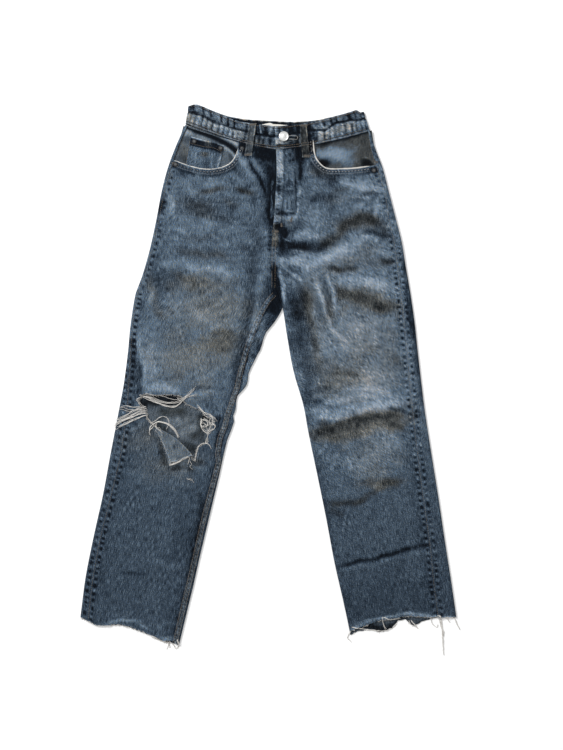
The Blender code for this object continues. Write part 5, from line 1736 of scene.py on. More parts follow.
def build_waistband():
    columns, run = band_path()
    t = np.linspace(BAND_HEIGHT, 0, BAND_ROWS)[:, None] + 0 * run
    s = np.broadcast_to(run, t.shape)
    low, lean, front = columns[:, :3], columns[:, 3], np.broadcast_to(columns[:, 5], t.shape)
    high = low + np.stack([lean, columns[:, 4], 0 * lean], -1)
    points = low + (t / BAND_HEIGHT)[..., None] * (high - low)
    x, y = points[..., 0] / MM, points[..., 1] / MM
    height, tone, brown = band_surface(x, y, t, s, front)
    height = np.where(front > 0, height, np.clip(0.5 * height, -1.0, 0.1))
    points = points + (height * MM)[..., None] * face_normals(points, -1.0)
    place = np.stack([t * MM, s * MM], -1)
    return cloth("waistband_cloth", points, (DENIM_FACE,), BAND_CLOTH, sign=-1.0,
                 place=place, wash=washed(tone, brown, 0 * tone))


waistband = build_waistband()
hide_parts("waistband")
print("waistband path is", round(band_path()[1][-1]), "mm long")

# %% [markdown]
# ## Belt loops
# A belt loop is a narrow strip of denim with its edges folded in, sewn down at both ends with
# dense bar tacks.  Its rubbed edges are pale, it arches over the band between the tacks, and
# dust collects on it.  Two loops lie on the front of the band and three under the back.

# %% Build the belt loops
LOOP_WIDTH, LOOP_LENGTH = 14.0, 62.0
LOOPS = {
    "loop_front_right": (-30, 484, -9, 0.46, 0.6), "loop_front_left": (67, 481, 5, 0.33, 1.0),
    "loop_back_right": (-112, 508, -8, 0.45, 0.2), "loop_back_left": (148, 503, 8, 0.45, 0.2),
    "loop_back_centre": (14, 489, 0, 0.45, 0.2),
}


def belt_loop(name, x, y, lean, pale, browning):
    sign = 1.0 if "front" in name else -1.0
    t = np.linspace(0, 1, 40)[:, None] + np.zeros(13)
    u = np.zeros((40, 1)) + np.linspace(-1, 1, 13)
    wobble = 0.35 * noise(t * 9, 0, len(name))
    px = x + lean * t + (LOOP_WIDTH / 2 + wobble) * u
    py = y - LOOP_LENGTH * t
    sewn = bell(t, 0.05) + bell(1 - t, 0.05)
    arch = smoothstep(0.03, 0.25, t) * smoothstep(0.97, 0.78, t)
    rim = bell(np.abs(u) - 0.82, 0.13)
    groove = bell(np.abs(u) - 0.55, 0.12)
    height = (2.6 if sign > 0 else 0.0) * arch + 0.4 * rim - 0.35 * groove
    height += 0.4 * noise(t * 7, u * 1.5, 5 + len(name)) * arch + 0.3 * sewn * np.sin(u * 26)
    height -= 0.9 * smoothstep(0.86, 1.0, np.abs(u))
    tone = pale + 0.13 * rim - 0.13 * groove + 0.24 * sewn - 0.20 * bell(t - 0.88, 0.03)
    tone -= 0.12 * bell(t - 0.12, 0.03) - 0.14 * noise(t * 16, u * 2.5, 9)
    tone += 0.30 * bell(u - 0.8, 0.16) * smoothstep(0.45, 0.3, t) - 0.10 * np.abs(u) ** 3
    level = 9.0 + (1.4 if name == "loop_front_left" else 0.0) * (1 - t) if sign > 0 else 0.75 + 0 * t
    z = level + (height if sign > 0 else -np.clip(height, -1, 0.7))
    points = np.stack([px, py, z], -1) * MM
    thickness = 1.2 * MM if sign > 0 else 0.6 * MM
    loop = cloth(name + "_cloth", points, (DENIM_FACING,), thickness, sign=sign,
                 wash=washed(tone, browning + 0 * tone, 0 * tone))
    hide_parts(name)
    return loop


loops = {name: belt_loop(name, *row) for name, row in LOOPS.items()}
print(len(loops), "belt loops of", LOOP_WIDTH, "by", LOOP_LENGTH, "mm")

# %% [markdown]
# ## Pocket facings, coin pocket, fly shield and label
# Behind each scooped pocket opening lies a facing, cut from the same denim.  On the right it
# carries the coin pocket.  These are flat pieces, so each is a grid of points over its outline,
# trimmed to it like a paper pattern, with soft waves and its own patches of wear, and on the
# facings painted shadows and highlights.

# %% Flat pieces trimmed to an outline
PATCH_CELL = 2.2


def patch(name, outline, level, surface, materials=None, sign=1.0, turn=0.0, thickness=1.0,
          cell=PATCH_CELL):
    """A flat piece of cloth.  surface gives height, tone, brown and shade at points in mm."""
    outline = np.array(outline, float)
    c, s = cos_sin(turn)
    straight = outline @ np.array([[c, -s], [s, c]])
    low, high = straight.min(0) - cell, straight.max(0) + cell
    u = np.arange(low[0], high[0] + cell, cell)
    v = np.arange(high[1], low[1] - cell, -cell)
    u, v = np.meshgrid(u, v)
    x, y = c * u - s * v, s * u + c * v
    height, tone, brown, shade = surface(x, y)
    z = level + sign * height
    points = np.stack([x, y, z], -1) * MM
    place = np.stack([u, v], -1) * MM
    return cloth(name, points, materials or (DENIM_FACE,), thickness * MM, sign=sign, trim=outline * MM,
                 reach=cell * MM, place=place, wash=washed(tone, brown, shade))


def waves(x, y, amount, seed):
    return amount * noise(x / 26, y / 22, seed) + 0.4 * amount * noise(x / 10, y / 9, seed + 1)


# %% Facings and coin pocket
LEFT_FACING = [
    (199, 471), (170, 466), (140, 458.5), (110, 450), (83, 440.5), (83, 425), (86, 411), (92, 400),
    (101, 391), (112, 384), (124, 382), (160, 382), (194, 387), (215, 390), (216, 398), (209, 421),
    (203, 445),
]
RIGHT_FACING = [
    (-164, 480), (-137, 471.5), (-110, 463), (-82, 455), (-51, 446.5), (-50, 436), (-54, 421), (-61, 407),
    (-73, 395), (-90, 386), (-112, 382), (-134, 384), (-156, 390), (-176, 397), (-188, 402), (-184, 420),
    (-172, 450),
]
COIN_POCKET = [(-149, 459.5), (-86, 442), (-97, 388), (-160, 399)]
COIN_TOP = curve([(-149, 459), (-139, 456), (-121, 451.5), (-106, 450), (-97, 447), (-86, 441.5)])
# Washes of the facings and the coin pocket, in the legs' columns.  On the facings the dark ones paint the
# shadows under the band and inside the openings, and the right facing's pale ones paint highlights on its
# folds.
LEFT_FACING_WASHES = [
    (128, 425, 37, 17, 3, +0.40, -1.6),
    (150, 408, 14, 10, 0, +0.16, -0.9),
    (106, 407, 13, 9, 20, -0.50, 0),
    (119, 413, 10, 9, 0, -0.16, 0),
    (190, 408, 11, 9, 0, -0.36, 0),
    (186, 440, 26, 32, 0, -0.04, 0.3),
    (140, 456, 66, 6, 14, -0.34, 0),
]
RIGHT_FACING_WASHES = [
    (-156, 468, 11, 9, -30, +0.34, 0),
    (-118, 456, 26, 5, -14, +0.20, 0),
    (-162, 430, 10, 26, 14, -0.03, 0.4),
    (-155, 455, 12, 8, 0, -0.12, 0),
    (-152, 415, 26, 8, -8, -0.18, 0),
    (-72, 424, 8, 12, 20, -0.22, 0),
]
COIN_WASHES = [
    (-124, 425, 8, 5, 0, -0.13, 0.9),
    (-121, 407, 9, 9, 0, -0.16, 0),
    (-104, 413, 5, 14, 0, -0.08, 0),
    (-140, 422, 10, 16, 0, +0.06, 0),
    (-104, 432, 10, 6, 0, -0.12, 0),
]


def left_facing_surface(x, y):
    tone, brown = wash_field(x, y, LEFT_FACING_WASHES)
    spur = line_shade(x, y, [(187, 419), (198, 413), (208, 406)], 2.2)
    height = waves(x, y, 0.6, 101) + 1.2 * spur - 0.6 * bell(x - 108, 12)
    return height, 0.40 + tone + 0.2 * spur, 0.85 + brown, 0.0 * x


def right_facing_surface(x, y):
    tone, brown = wash_field(x, y, RIGHT_FACING_WASHES)
    seam = [(-160, 480), (-140, 471), (-120, 463), (-100, 455), (-85, 447), (-70, 438), (-62, 430)]
    # gap paints the shadow under the waistband, and ridge and fold paint highlights on the facing's folds.
    gap = line_shade(x, y, seam, 4.4)
    ridge = line_shade(x, y, [(-104, 464), (-85, 456.5), (-72, 451), (-60, 444)], 3.4)
    fold = line_shade(x, y, [(-86, 441), (-77, 434), (-68, 426), (-64, 420)], 3.8)
    height = waves(x, y, 0.4, 105) - 0.9 * gap + 1.3 * ridge + 0.9 * fold
    return height, 0.52 + tone - 0.72 * gap + 0.46 * ridge + 0.42 * fold, 0.35 + brown, 0.5 * gap


def coin_surface(x, y):
    tone, brown = wash_field(x, y, COIN_WASHES)
    below = np.abs(nearest(x, y, COIN_TOP)[0])
    hem = smoothstep(13.5, 11.5, below)
    edge = bell(below, 2.2)
    dusty = bell(x + 116, 9) * hem
    right_line = line_shade(x, y, [(-86, 437), (-92, 421), (-98, 401)], 1.4)
    left_line = line_shade(x, y, [(-154, 446), (-158, 415), (-160, 402)], 1.3)
    inner_line = line_shade(x, y, [(-107, 424), (-111, 403)], 1.2)
    height = waves(x, y, 0.3, 109) + 0.8 * hem + 0.5 * edge + 0.4 * (right_line + left_line)
    height -= 0.7 * bell(below - 14.5, 1.6)
    tone = 0.50 + tone - 0.48 * hem + 1.05 * edge + 0.24 * dusty
    tone += 0.30 * right_line + 0.16 * left_line + 0.15 * inner_line
    tone -= 0.40 * bell(below - 14.5, 1.8)
    return height, tone, brown + 0.8 * dusty, 0.0 * x


facing_left = patch("facing_left_cloth", LEFT_FACING, 5.8, left_facing_surface, (DENIM_FACING,))
facing_right = patch("facing_right_cloth", RIGHT_FACING, 4.4, right_facing_surface, (DENIM_FACING,))
coin_pocket = patch("coin_pocket_cloth", COIN_POCKET, 5.8, coin_surface, cell=1.6)
for piece in (facing_left, facing_right, coin_pocket):
    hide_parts(piece.name.removesuffix("_cloth"))

# %% Fly shield
FLY_SHIELD = [(8, 434), (50, 436), (46, 300), (34, 262), (2, 262)]


def shield_surface(x, y):
    return waves(x, y, 0.3, 113), 0.36 + 0.05 * noise(x / 9, y / 14, 114), 0.0 * x, 0.0 * x


fly_shield = patch("fly_shield_cloth", FLY_SHIELD, 5.0, shield_surface, cell=3.0)
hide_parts("fly_shield")

# %% Back pockets
POCKET_HALF, POCKET_SIDE, POCKET_DEPTH, POCKET_TAPER = 66.0, 112.0, 136.0, 0.9
POCKET_HEM = 16.0


def back_pocket(side):
    x0, y0, turn = BACK_POCKETS[side]
    tip = POCKET_TAPER * POCKET_HALF
    shape = np.array([
        (-POCKET_HALF, 0), (POCKET_HALF, 0), (tip, -POCKET_SIDE), (0, -POCKET_DEPTH), (-tip, -POCKET_SIDE)
    ])
    c, s = cos_sin(turn)
    outline = shape @ np.array([[c, s], [-s, c]]) + (x0, y0)
    closed = np.concatenate([outline, outline[:1]])

    def surface(x, y):
        edge, along, _ = nearest(x, y, closed)
        edge = np.abs(edge)
        down = -((y - y0) * c - (x - x0) * s)
        beat = beats(along / 9.5 + 0.3 * noise(along / 25, 0, 121))
        lumps = bell(edge - 5, 3.0)
        hem = bell(down - POCKET_HEM, 1.5)
        height = 0.35 * waves(x, y, 0.5, 123) - 0.35 * lumps * beat
        height = height - 0.3 * hem - 0.4 * smoothstep(1.5, 0, edge)
        tone = 0.52 + 0.05 * noise(x / 30, y / 30, 124) - 0.20 * lumps * beat**2 + 0.10 * lumps * (1 - beat)
        tone += 0.20 * smoothstep(1.6, 0.3, edge) - 0.16 * hem + 0.08 * bell(down, 4)
        return np.clip(height, -0.6, 0), tone, 0.2 + 0 * x, 0.0 * x

    pocket = patch("back_pocket_" + side + "_cloth", outline, 0.05, surface, sign=-1.0, turn=turn,
                   thickness=0.7, cell=2.6)
    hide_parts("back_pocket_" + side)
    return pocket


pockets = [back_pocket(side) for side in ("right", "left")]
print("flat pieces:", 4 + len(pockets))

# %% [markdown]
# ## The bare label
# A woven cotton label is stitched inside the back of the waistband.  It is left bare.  Cotton
# tape shows its weave and a faint sheen, so its material is a fine plain weave.

# %% Label cotton
LABEL = [
    (-16, 460), (50, 458), (52, 480.5), (36, 481.5), (20, 483), (9, 483.5), (3, 486), (-3, 485), (-16, 482),
]


def woven_cotton(name, colour, pitch=0.6 * MM):
    made, tree, shader = new_material(name)
    place = add_node(tree, "Attribute", attribute_name="place").outputs["Vector"]
    axes = add_node(tree, "SeparateXYZ", {0: place}).outputs
    threads = [calc(tree, "SINE", calc(tree, "MULTIPLY", axis, 2 * math.pi / pitch)) for axis in axes[:2]]
    weave = calc(tree, "MULTIPLY", *threads)
    mottle = streaks(tree, place, 9, 9, 8)
    dirt = calc(tree, "MULTIPLY_ADD", weave, 0.05, calc(tree, "MULTIPLY_ADD", mottle, 0.5, 0.2))
    stained = linear([0.86 * channel for channel in colour])
    colour = mix_colour(tree, dirt, linear(colour), stained)
    tree.links.new(colour, shader.inputs["Base Color"])
    bump = add_node(tree, "Bump", {"Height": weave, "Strength": 0.3, "Distance": 0.2 * MM})
    tree.links.new(bump.outputs["Normal"], shader.inputs["Normal"])
    shader.inputs["Roughness"].default_value = 0.75
    shader.inputs["Sheen Weight"].default_value = 0.1
    return made


LABEL_COTTON = woven_cotton("label cotton", (224, 221, 214))


def label_surface(x, y):
    return 0.25 * noise(x / 16, y / 16, 131), 0.5 + 0 * x, 0 * x, 0 * x


label = patch("waist_label_cloth", LABEL, 4.3, label_surface, (LABEL_COTTON,), thickness=0.4, cell=2.0)
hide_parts("waist_label")
print("label is bare cotton,", round(LABEL[1][0] - LABEL[0][0]), "mm wide")

# %% [markdown]
# ## Button and rivets
# The shank button is a white metal cap, dished inside a raised rim.  It is turned on a lathe in
# the real factory, so its profile is turned about an upright axis here too.  The rivets are
# small copper burrs that have gone nearly black, with a pale ring round the stem that is rubbed
# metal and a painted highlight.

# %% Turned metal
def metal(name, colour, worn, roughness, metallic=1.0):
    made, tree, shader = new_material(name)
    wash = add_node(tree, "Attribute", attribute_name="wash").outputs["Color"]
    paleness = add_node(tree, "SeparateColor", {"Color": wash}).outputs["Red"]
    spots = add_node(tree, "TexNoise", {"Scale": 900.0, "Detail": 3.0})
    # The pale colour comes in where the profile is pale: rubbed metal, and on the rivets a painted highlight.
    share = calc(tree, "MULTIPLY_ADD", spots.outputs["Fac"], 0.5, calc(tree, "SUBTRACT", paleness, 0.25))
    share = add_node(tree, "Clamp", {"Value": share}).outputs[0]
    tree.links.new(mix_colour(tree, share, linear(colour), linear(worn)), shader.inputs["Base Color"])
    bump = add_node(tree, "Bump", {"Height": spots.outputs["Fac"], "Strength": 0.25, "Distance": 0.1 * MM})
    tree.links.new(bump.outputs["Normal"], shader.inputs["Normal"])
    rough = calc(tree, "MULTIPLY_ADD", spots.outputs["Fac"], 0.2, roughness - 0.1)
    tree.links.new(rough, shader.inputs["Roughness"])
    shader.inputs["Metallic"].default_value = metallic
    return made


def turned(name, profile, x, y, low, material, tilt=(0, 0), steps=56):
    """A round piece: profile rows give radius and height in mm, and how pale it is there."""
    turn = np.linspace(0, 2 * math.pi, steps, endpoint=False)
    points, colours = [], []
    for radius, height, paleness in profile:
        lean = tilt[0] * np.cos(turn) + tilt[1] * np.sin(turn)
        ring = [x + radius * np.cos(turn), y + radius * np.sin(turn), low + height + lean * radius]
        points.append(np.stack(ring, -1))
        colours.append(np.tile([paleness, 0, 0, 1], (steps, 1)))
    index = np.arange(len(profile) * steps).reshape(len(profile), steps)
    sides = joined_rings(index)
    mesh = bpy.data.meshes.new(name)
    faces = [*sides.tolist(), index[0][::-1].tolist(), index[-1].tolist()]
    mesh.from_pydata(np.concatenate(points) * MM, [], faces)
    mesh.materials.append(material)
    mesh.shade_smooth()
    mesh.set_sharp_from_angle(angle=math.radians(50))
    give(mesh, "wash", "FLOAT_COLOR", np.concatenate(colours))
    return set_in_place(name, mesh)


WHITE_METAL = metal("white metal", (148, 149, 149), (194, 195, 194), 0.40)
DARK_COPPER = metal("dark copper", (12, 13, 15), (112, 114, 116), 0.7, 0.4)
BUTTON_AT, BUTTON_LOW = (29.5, 459.0), 9.6
BUTTON_PROFILE = [
    (7.8, 0.0, 0.3), (9.0, 0.3, 0.4), (9.6, 1.2, 0.7), (9.55, 1.9, 0.9), (9.2, 2.6, 1.0),
    (8.6, 2.95, 1.0), (7.9, 2.85, 0.9), (7.4, 2.45, 0.5), (7.0, 2.30, 0.5), (6.4, 2.42, 0.8),
    (4.9, 2.62, 0.9), (4.5, 2.50, 0.6), (4.1, 2.62, 0.8), (2.0, 2.78, 0.9), (0.6, 2.80, 0.9),
]
# The raised ring round the stem is pale: rubbed metal and a painted highlight.
RIVET_PROFILE = [
    (4.5, 0, 0.0), (4.6, 0.35, 0.0), (4.3, 0.75, 0.05), (3.6, 0.95, 0.0), (3.0, 0.7, 0.0), (2.6, 0.75, 0.1),
    (2.1, 1.15, 0.55), (1.6, 1.2, 0.7), (1.1, 0.9, 0.2), (0.4, 0.75, 0.5),
]
RIVETS = {
    "rivet_coin_outer": (-143, 450, 6.7), "rivet_coin_inner": (-92, 437, 6.7),
    "rivet_right_side": (-179, 405.5, 7.4), "rivet_right_waist": (-51, 436, 7.4),
    "rivet_left_waist": (86, 434, 7.4), "rivet_left_side": (203, 394, 7.4),
}
button = turned("button_cap", BUTTON_PROFILE, *BUTTON_AT, BUTTON_LOW, WHITE_METAL,
                tilt=(0.02, -0.03), steps=96)
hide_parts("button")
for name, (x, y, low) in RIVETS.items():
    rivet = turned(name + "_metal", RIVET_PROFILE, x, y, low, DARK_COPPER)
    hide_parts(name)
print(len(RIVETS), "rivets and one button")

# %% [markdown]
# ## The torn flap
# At the knee a tongue of denim has torn free on two sides.  It lies over the lower edge of the
# rip with its blue face up, creased along its clean edge, and its torn end is fringed.

# %% Knee flap
FLAP_ROWS = np.array([
    (-215, -101, -218, -105), (-201, -108, -210, -117), (-184, -118, -203, -130),
    (-169, -130, -198, -143), (-157, -142, -194, -156), (-146, -155, -191, -170),
])
FLAP_LEVEL = 7.6


def build_flap():
    rows = catmull(FLAP_ROWS, np.linspace(0, 5, 44))
    share = np.linspace(0, 1, 26)
    x = rows[:, 2:3] + (rows[:, 0:1] - rows[:, 2:3]) * share
    y = rows[:, 3:4] + (rows[:, 1:2] - rows[:, 3:4]) * share
    down = np.linspace(0, 1, 44)[:, None] + 0 * share
    ragged_edge = 1.3 * noise(down * 17, 0, 141) * smoothstep(0.25, 0, share)
    x = x - ragged_edge
    y = y - 1.5 * noise(share * 11, 0, 142) * smoothstep(0.9, 1.0, down)
    torn = np.maximum(smoothstep(0.10, 0.0, share) * 0.6, smoothstep(0.94, 1.0, down))
    fold = smoothstep(0.93, 1.0, share)
    height = 0.9 * np.sin(math.pi * share) + 0.35 * noise(x / 12, y / 10, 143) - 1.3 * fold
    height += 0.8 * smoothstep(0.8, 1.0, down) + 0.5 * smoothstep(0.2, 0.0, down)
    tone = 0.56 + 0.08 * noise(x / 9, y / 9, 144) + 0.40 * torn + 0.20 * fold
    points = np.stack([x, y, FLAP_LEVEL + height], -1) * MM
    return cloth("knee_flap_cloth", points, (DENIM_RIGHT, DENIM_REVERSE), 0.9 * MM,
                 wash=washed(tone, 0.4 + 0 * tone, 0 * tone))


knee_flap = build_flap()
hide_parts("knee_flap")
print("flap has", len(knee_flap.data.polygons), "faces")

# %% [markdown]
# ## Stitches
# Every stitch is a short thread that dips into the cloth at both ends.  There are thousands, so
# each row is laid out along its line in plan, dropped onto the surface from above or below, and
# joined with its neighbours in one mesh.  The thread is tan cotton, worn nearly grey.  Bar tacks
# are rows of the same stitches laid side by side.

# %% Find the surface under a point
def surface_tree(objects):
    """A tree of all the faces of these objects, to drop points onto."""
    vertices, faces, start = [], [], 0
    for obj in objects:
        mesh = obj.data
        flat = np.empty(len(mesh.vertices) * 3, np.float32)
        mesh.vertices.foreach_get("co", flat)
        vertices.append(flat.reshape(-1, 3))
        corners = np.empty(len(mesh.loops), np.int32)
        mesh.loops.foreach_get("vertex_index", corners)
        starts = np.empty(len(mesh.polygons), np.int32)
        mesh.polygons.foreach_get("loop_start", starts)
        faces += [list(part) for part in np.split(corners + start, starts[1:])]
        start += len(mesh.vertices)
    return BVHTree.FromPolygons(np.concatenate(vertices).tolist(), faces)


CLOTHS = [front_right, front_left, *backs, waistband, facing_left, facing_right, coin_pocket, knee_flap,
          *pockets, *loops.values()]
SURFACE = surface_tree(CLOTHS)
FLOOR_LEVEL = 0.05


def drop(line, from_above=True):
    """Heights in mm of the surface at points in plan, or of the floor where there is none."""
    start, way = (0.2, -1) if from_above else (-0.2, 1)
    out = []
    for x, y in np.asarray(line)[:, :2]:
        hit = SURFACE.ray_cast((x * MM, y * MM, start), (0, 0, way))[0]
        out.append(hit.z / MM if hit is not None else FLOOR_LEVEL)
    return np.array(out)


# %% Build rows of stitches
THREAD_TAN = woven_cotton("tan thread", (132, 117, 97), 0.45 * MM)
THREAD_DUSTY = woven_cotton("dusty thread", (88, 82, 76), 0.45 * MM)
THREAD_PALE = woven_cotton("pale thread", (170, 168, 164), 0.45 * MM)
THREAD_FADED = woven_cotton("faded thread", (138, 140, 142), 0.45 * MM)
THREAD_NAVY = woven_cotton("navy thread", (24, 30, 40), 0.45 * MM)
THREAD_SLATE = woven_cotton("slate thread", (70, 82, 94), 0.45 * MM)
STITCH_RING = [(-1.0, 0.25, -0.25), (-0.45, 1.0, 0.16), (0.45, 1.0, 0.16), (1.0, 0.25, -0.25)]


def stitches(name, rows, material, from_above=True):
    """rows hold a line in plan, the pitch, the stitch's length and its width, all in mm."""
    ends, count = [], 0
    for line, pitch, length, width in rows:
        line = curve(line, pitch)
        middle = (line[1:] + line[:-1]) / 2
        along = line[1:] - line[:-1]
        along /= np.maximum(np.linalg.norm(along, axis=1), 1e-9)[:, None]
        z = drop(middle, from_above)
        for k, (spot, way) in enumerate(zip(middle, along)):
            wobble = 0.12 * noise(count * 0.7 + k * 1.9, 0, 171)
            ends.append((*(spot + wobble), z[k], *way, length / 2, width / 2))
        count += len(middle)
    ends = np.array(ends)
    centre, way, half, wide = ends[:, :3], ends[:, 3:5], ends[:, 5], ends[:, 6]
    side = np.stack([-way[:, 1], way[:, 0]], -1)
    up = 1.0 if from_above else -1.0
    turns = np.linspace(0, 2 * math.pi, 5)[:-1] + math.pi / 4
    points = []
    for step, swell, rise in STITCH_RING:
        for turn in turns:
            plan = centre[:, :2] + way * (step * half)[:, None]
            plan = plan + side * (swell * math.cos(turn) * wide)[:, None]
            z = centre[:, 2] + up * (rise + swell * math.sin(turn) * wide * 0.9)
            points.append(np.concatenate([plan, np.maximum(z, 0.02)[:, None]], -1))
    points = np.stack(points, 1).reshape(-1, 3) * MM
    rings = len(STITCH_RING)
    index = np.arange(rings * 4).reshape(rings, 4)
    shape = np.concatenate([joined_rings(index), [index[0][::-1]], [index[-1]]])
    if from_above:
        shape = shape[:, ::-1]
    faces = (shape[None] + (np.arange(len(ends)) * rings * 4)[:, None, None]).reshape(-1, 4)
    mesh = bpy.data.meshes.new(name)
    mesh.from_pydata(points, [], faces.tolist())
    mesh.materials.append(material)
    mesh.shade_smooth()
    give(mesh, "place", "FLOAT_VECTOR", points)
    obj = set_in_place(name, mesh)
    print(name, "has", len(ends), "stitches")
    return obj


HIDDEN_COLUMNS = 18  # of the band, from the button end, which lie under the overlap


def band_line(level, front=1.0):
    """A line along the waistband, level mm above its lower edge, on its front or back face."""
    columns, _ = band_path()
    columns = columns[HIDDEN_COLUMNS:]
    columns = columns[columns[:, 5] * front > 0]
    return (columns[:, :2] + level / BAND_HEIGHT * columns[:, 3:5]) / MM


def split_at_gaps(line, most=12.0):
    gaps = np.where(np.linalg.norm(np.diff(line, axis=0), axis=1) > most)[0] + 1
    return [part for part in np.split(line, gaps) if len(part) > 3]


def bar_tack(x, y, turn, width, length=2.6, pitch=0.75):
    """Dense parallel stitches: width mm wide, each stitch as long as the tack is high."""
    c, s = cos_sin(turn)
    rows = []
    for step in np.arange(-width / 2, width / 2 + 0.1, pitch):
        spot = np.array([x + c * step, y + s * step])
        reach = np.array([-s, c]) * length / 2
        rows.append(([spot - reach, spot + reach], length, length * 1.25, 0.75))
    return rows


FLY_ROWS = [FLY_STITCH, [(43.5, 436), (45.5, 400), (48.5, 370), (51, 338), (50.5, 312), (42, 298), (28, 293)]]
RIGHT_EDGE, LEFT_EDGE = np.array(RIGHT_OPENING)[1:], np.array(LEFT_OPENING)[:-1][::-1]
lower_centre = [(4 + 0.012 * (y - 218), y) for y in np.arange(280, 166, -8.0)]
top_rows = []
for line in split_at_gaps(band_line(2.2)) + split_at_gaps(band_line(5.8)) + split_at_gaps(band_line(37.4)):
    top_rows.append((line, 3.4, 3.0, 0.7))
for offset in (-4.0, 4.2):
    top_rows.append((beside(FELL_LINE, offset), 3.4, 3.0, 0.8))
for side in ("right", "left"):
    top_rows.append((beside(OUTSEAM[side][2:], 0.8 if side == "right" else -0.8), 4.2, 3.2, 0.55))
for offset in (3.0, 9.0):
    top_rows.append((beside(lower_centre, offset), 3.2, 2.7, 0.7))
top_rows.append((beside(COIN_TOP, -12.0), 3.0, 2.5, 0.6))
top_rows.append(([(-152, 451), (-156.5, 425), (-158, 405)], 3.0, 2.5, 0.6))
top_rows.append(([(-88.5, 437), (-94, 420), (-98, 402)], 3.0, 2.5, 0.6))
tack_rows = []
for x, y, turn, width in (
    (-30, 482, 8, 12), (-40, 424, 8, 12), (69, 480, 0, 12), (75, 422, 0, 12), (44, 299, 80, 9),
    (25, 289, 95, 7), (206, 411, -25, 9), (-182, 408, 20, 8), (16, 276, 0, 6),
):
    tack_rows += bar_tack(x, y, turn, width)
stitches_front = stitches("stitches_front", top_rows, THREAD_TAN)
stitches_fly = stitches("stitches_fly", [(line, 3.2, 2.7, 0.7) for line in FLY_ROWS], THREAD_SLATE)
bar_tacks = stitches("bar_tacks", tack_rows, THREAD_DUSTY)
BUTTONHOLE = [
    [(40, 460.5), (47, 460.6), (54.5, 459.8)], [(40, 454.2), (47, 453.6), (54, 453.4)],
    [(54.5, 459.8), (56.2, 456.6), (54, 453.4)],
]
hole_rows = [(line, 0.9, 2.6, 0.8) for line in BUTTONHOLE]
stitches_buttonhole = stitches("stitches_buttonhole", hole_rows, THREAD_PALE)


def on_cloth(line):
    """The part of a line that lies on the jeans, not past their side."""
    return line[drop(line) > 3.0]


edge_rows = []
for line in (RIGHT_EDGE, LEFT_EDGE):
    edge_rows.append((on_cloth(beside(line, 5.2)), 6.3, 3.4, 2.0))
    edge_rows.append((on_cloth(beside(line, 9.4)), 3.4, 2.4, 0.7))
stitches_edges = stitches("stitches_edges", edge_rows, THREAD_FADED)
dots = [(on_cloth(beside(line, 5.2))[1:], 6.3, 2.8, 2.4) for line in (RIGHT_EDGE, LEFT_EDGE)]
dots += [(beside(FELL_LINE, -1.9), 4.4, 2.4, 1.5), (beside(FELL_LINE, 2.1), 4.4, 2.4, 1.5)]
stitches_openings = stitches("stitches_openings", dots, THREAD_NAVY)

# %% Stitches of the back
under_rows = []
for line in split_at_gaps(band_line(2.2, -1.0)) + split_at_gaps(band_line(37.4, -1.0)):
    under_rows.append((line, 3.6, 3.0, 0.6))
for side in ("right", "left"):
    for offset in (-7.5, -2.5, 2.5):
        under_rows.append((YOKE_SEAM[side] + (0, offset), 3.6, 3.0, 0.6))
    x0, y0, turn = BACK_POCKETS[side]
    c, s = cos_sin(turn)
    for inset in (2.2, 8.0):
        half, tip = POCKET_HALF - inset, POCKET_TAPER * POCKET_HALF - inset
        foot = POCKET_SIDE - 0.35 * inset
        shape = [(-half, 0), (-tip, -foot), (0, inset - POCKET_DEPTH), (tip, -foot), (half, 0)]
        for (ax, ay), (bx, by) in zip(shape[:-1], shape[1:]):
            ends = [(x0 + c * u - s * v, y0 + s * u + c * v) for u, v in ((ax, ay), (bx, by))]
            under_rows.append((ends, 3.4, 2.8, 0.6))
    for drop_down in (2.5, POCKET_HEM - 1.5):
        reach = (4 - POCKET_HALF, POCKET_HALF - 4)
        ends = [(x0 + c * u + s * drop_down, y0 + s * u - c * drop_down) for u in reach]
        under_rows.append((ends, 3.4, 2.8, 0.6))
centre_back = CENTRE_BACK[2:]
for offset in (-5.0, 1.5):
    under_rows.append((beside(centre_back, offset), 3.6, 3.0, 0.6))
stitches_back = stitches("stitches_back", under_rows, THREAD_TAN, from_above=False)

# %% [markdown]
# ## Loose threads, frayed edges and the white pocket rims
# Where denim tears, the blue warp breaks away and the white weft is left hanging.  Each loose
# thread is a thin round tube along a line of its own, laid on the cloth with a little slack,
# and split into two or three plies that part from one another.  Raw edges carry hundreds of
# short hairs, placed by a seeded draw.  The pocket rims have worn through to a white rope.

# %% Threads as tubes
LOOSE_COTTON = woven_cotton("loose cotton", (218, 215, 210), 0.5 * MM)
RIM_COTTON = woven_cotton("rim cotton", (206, 203, 198), 0.9 * MM)


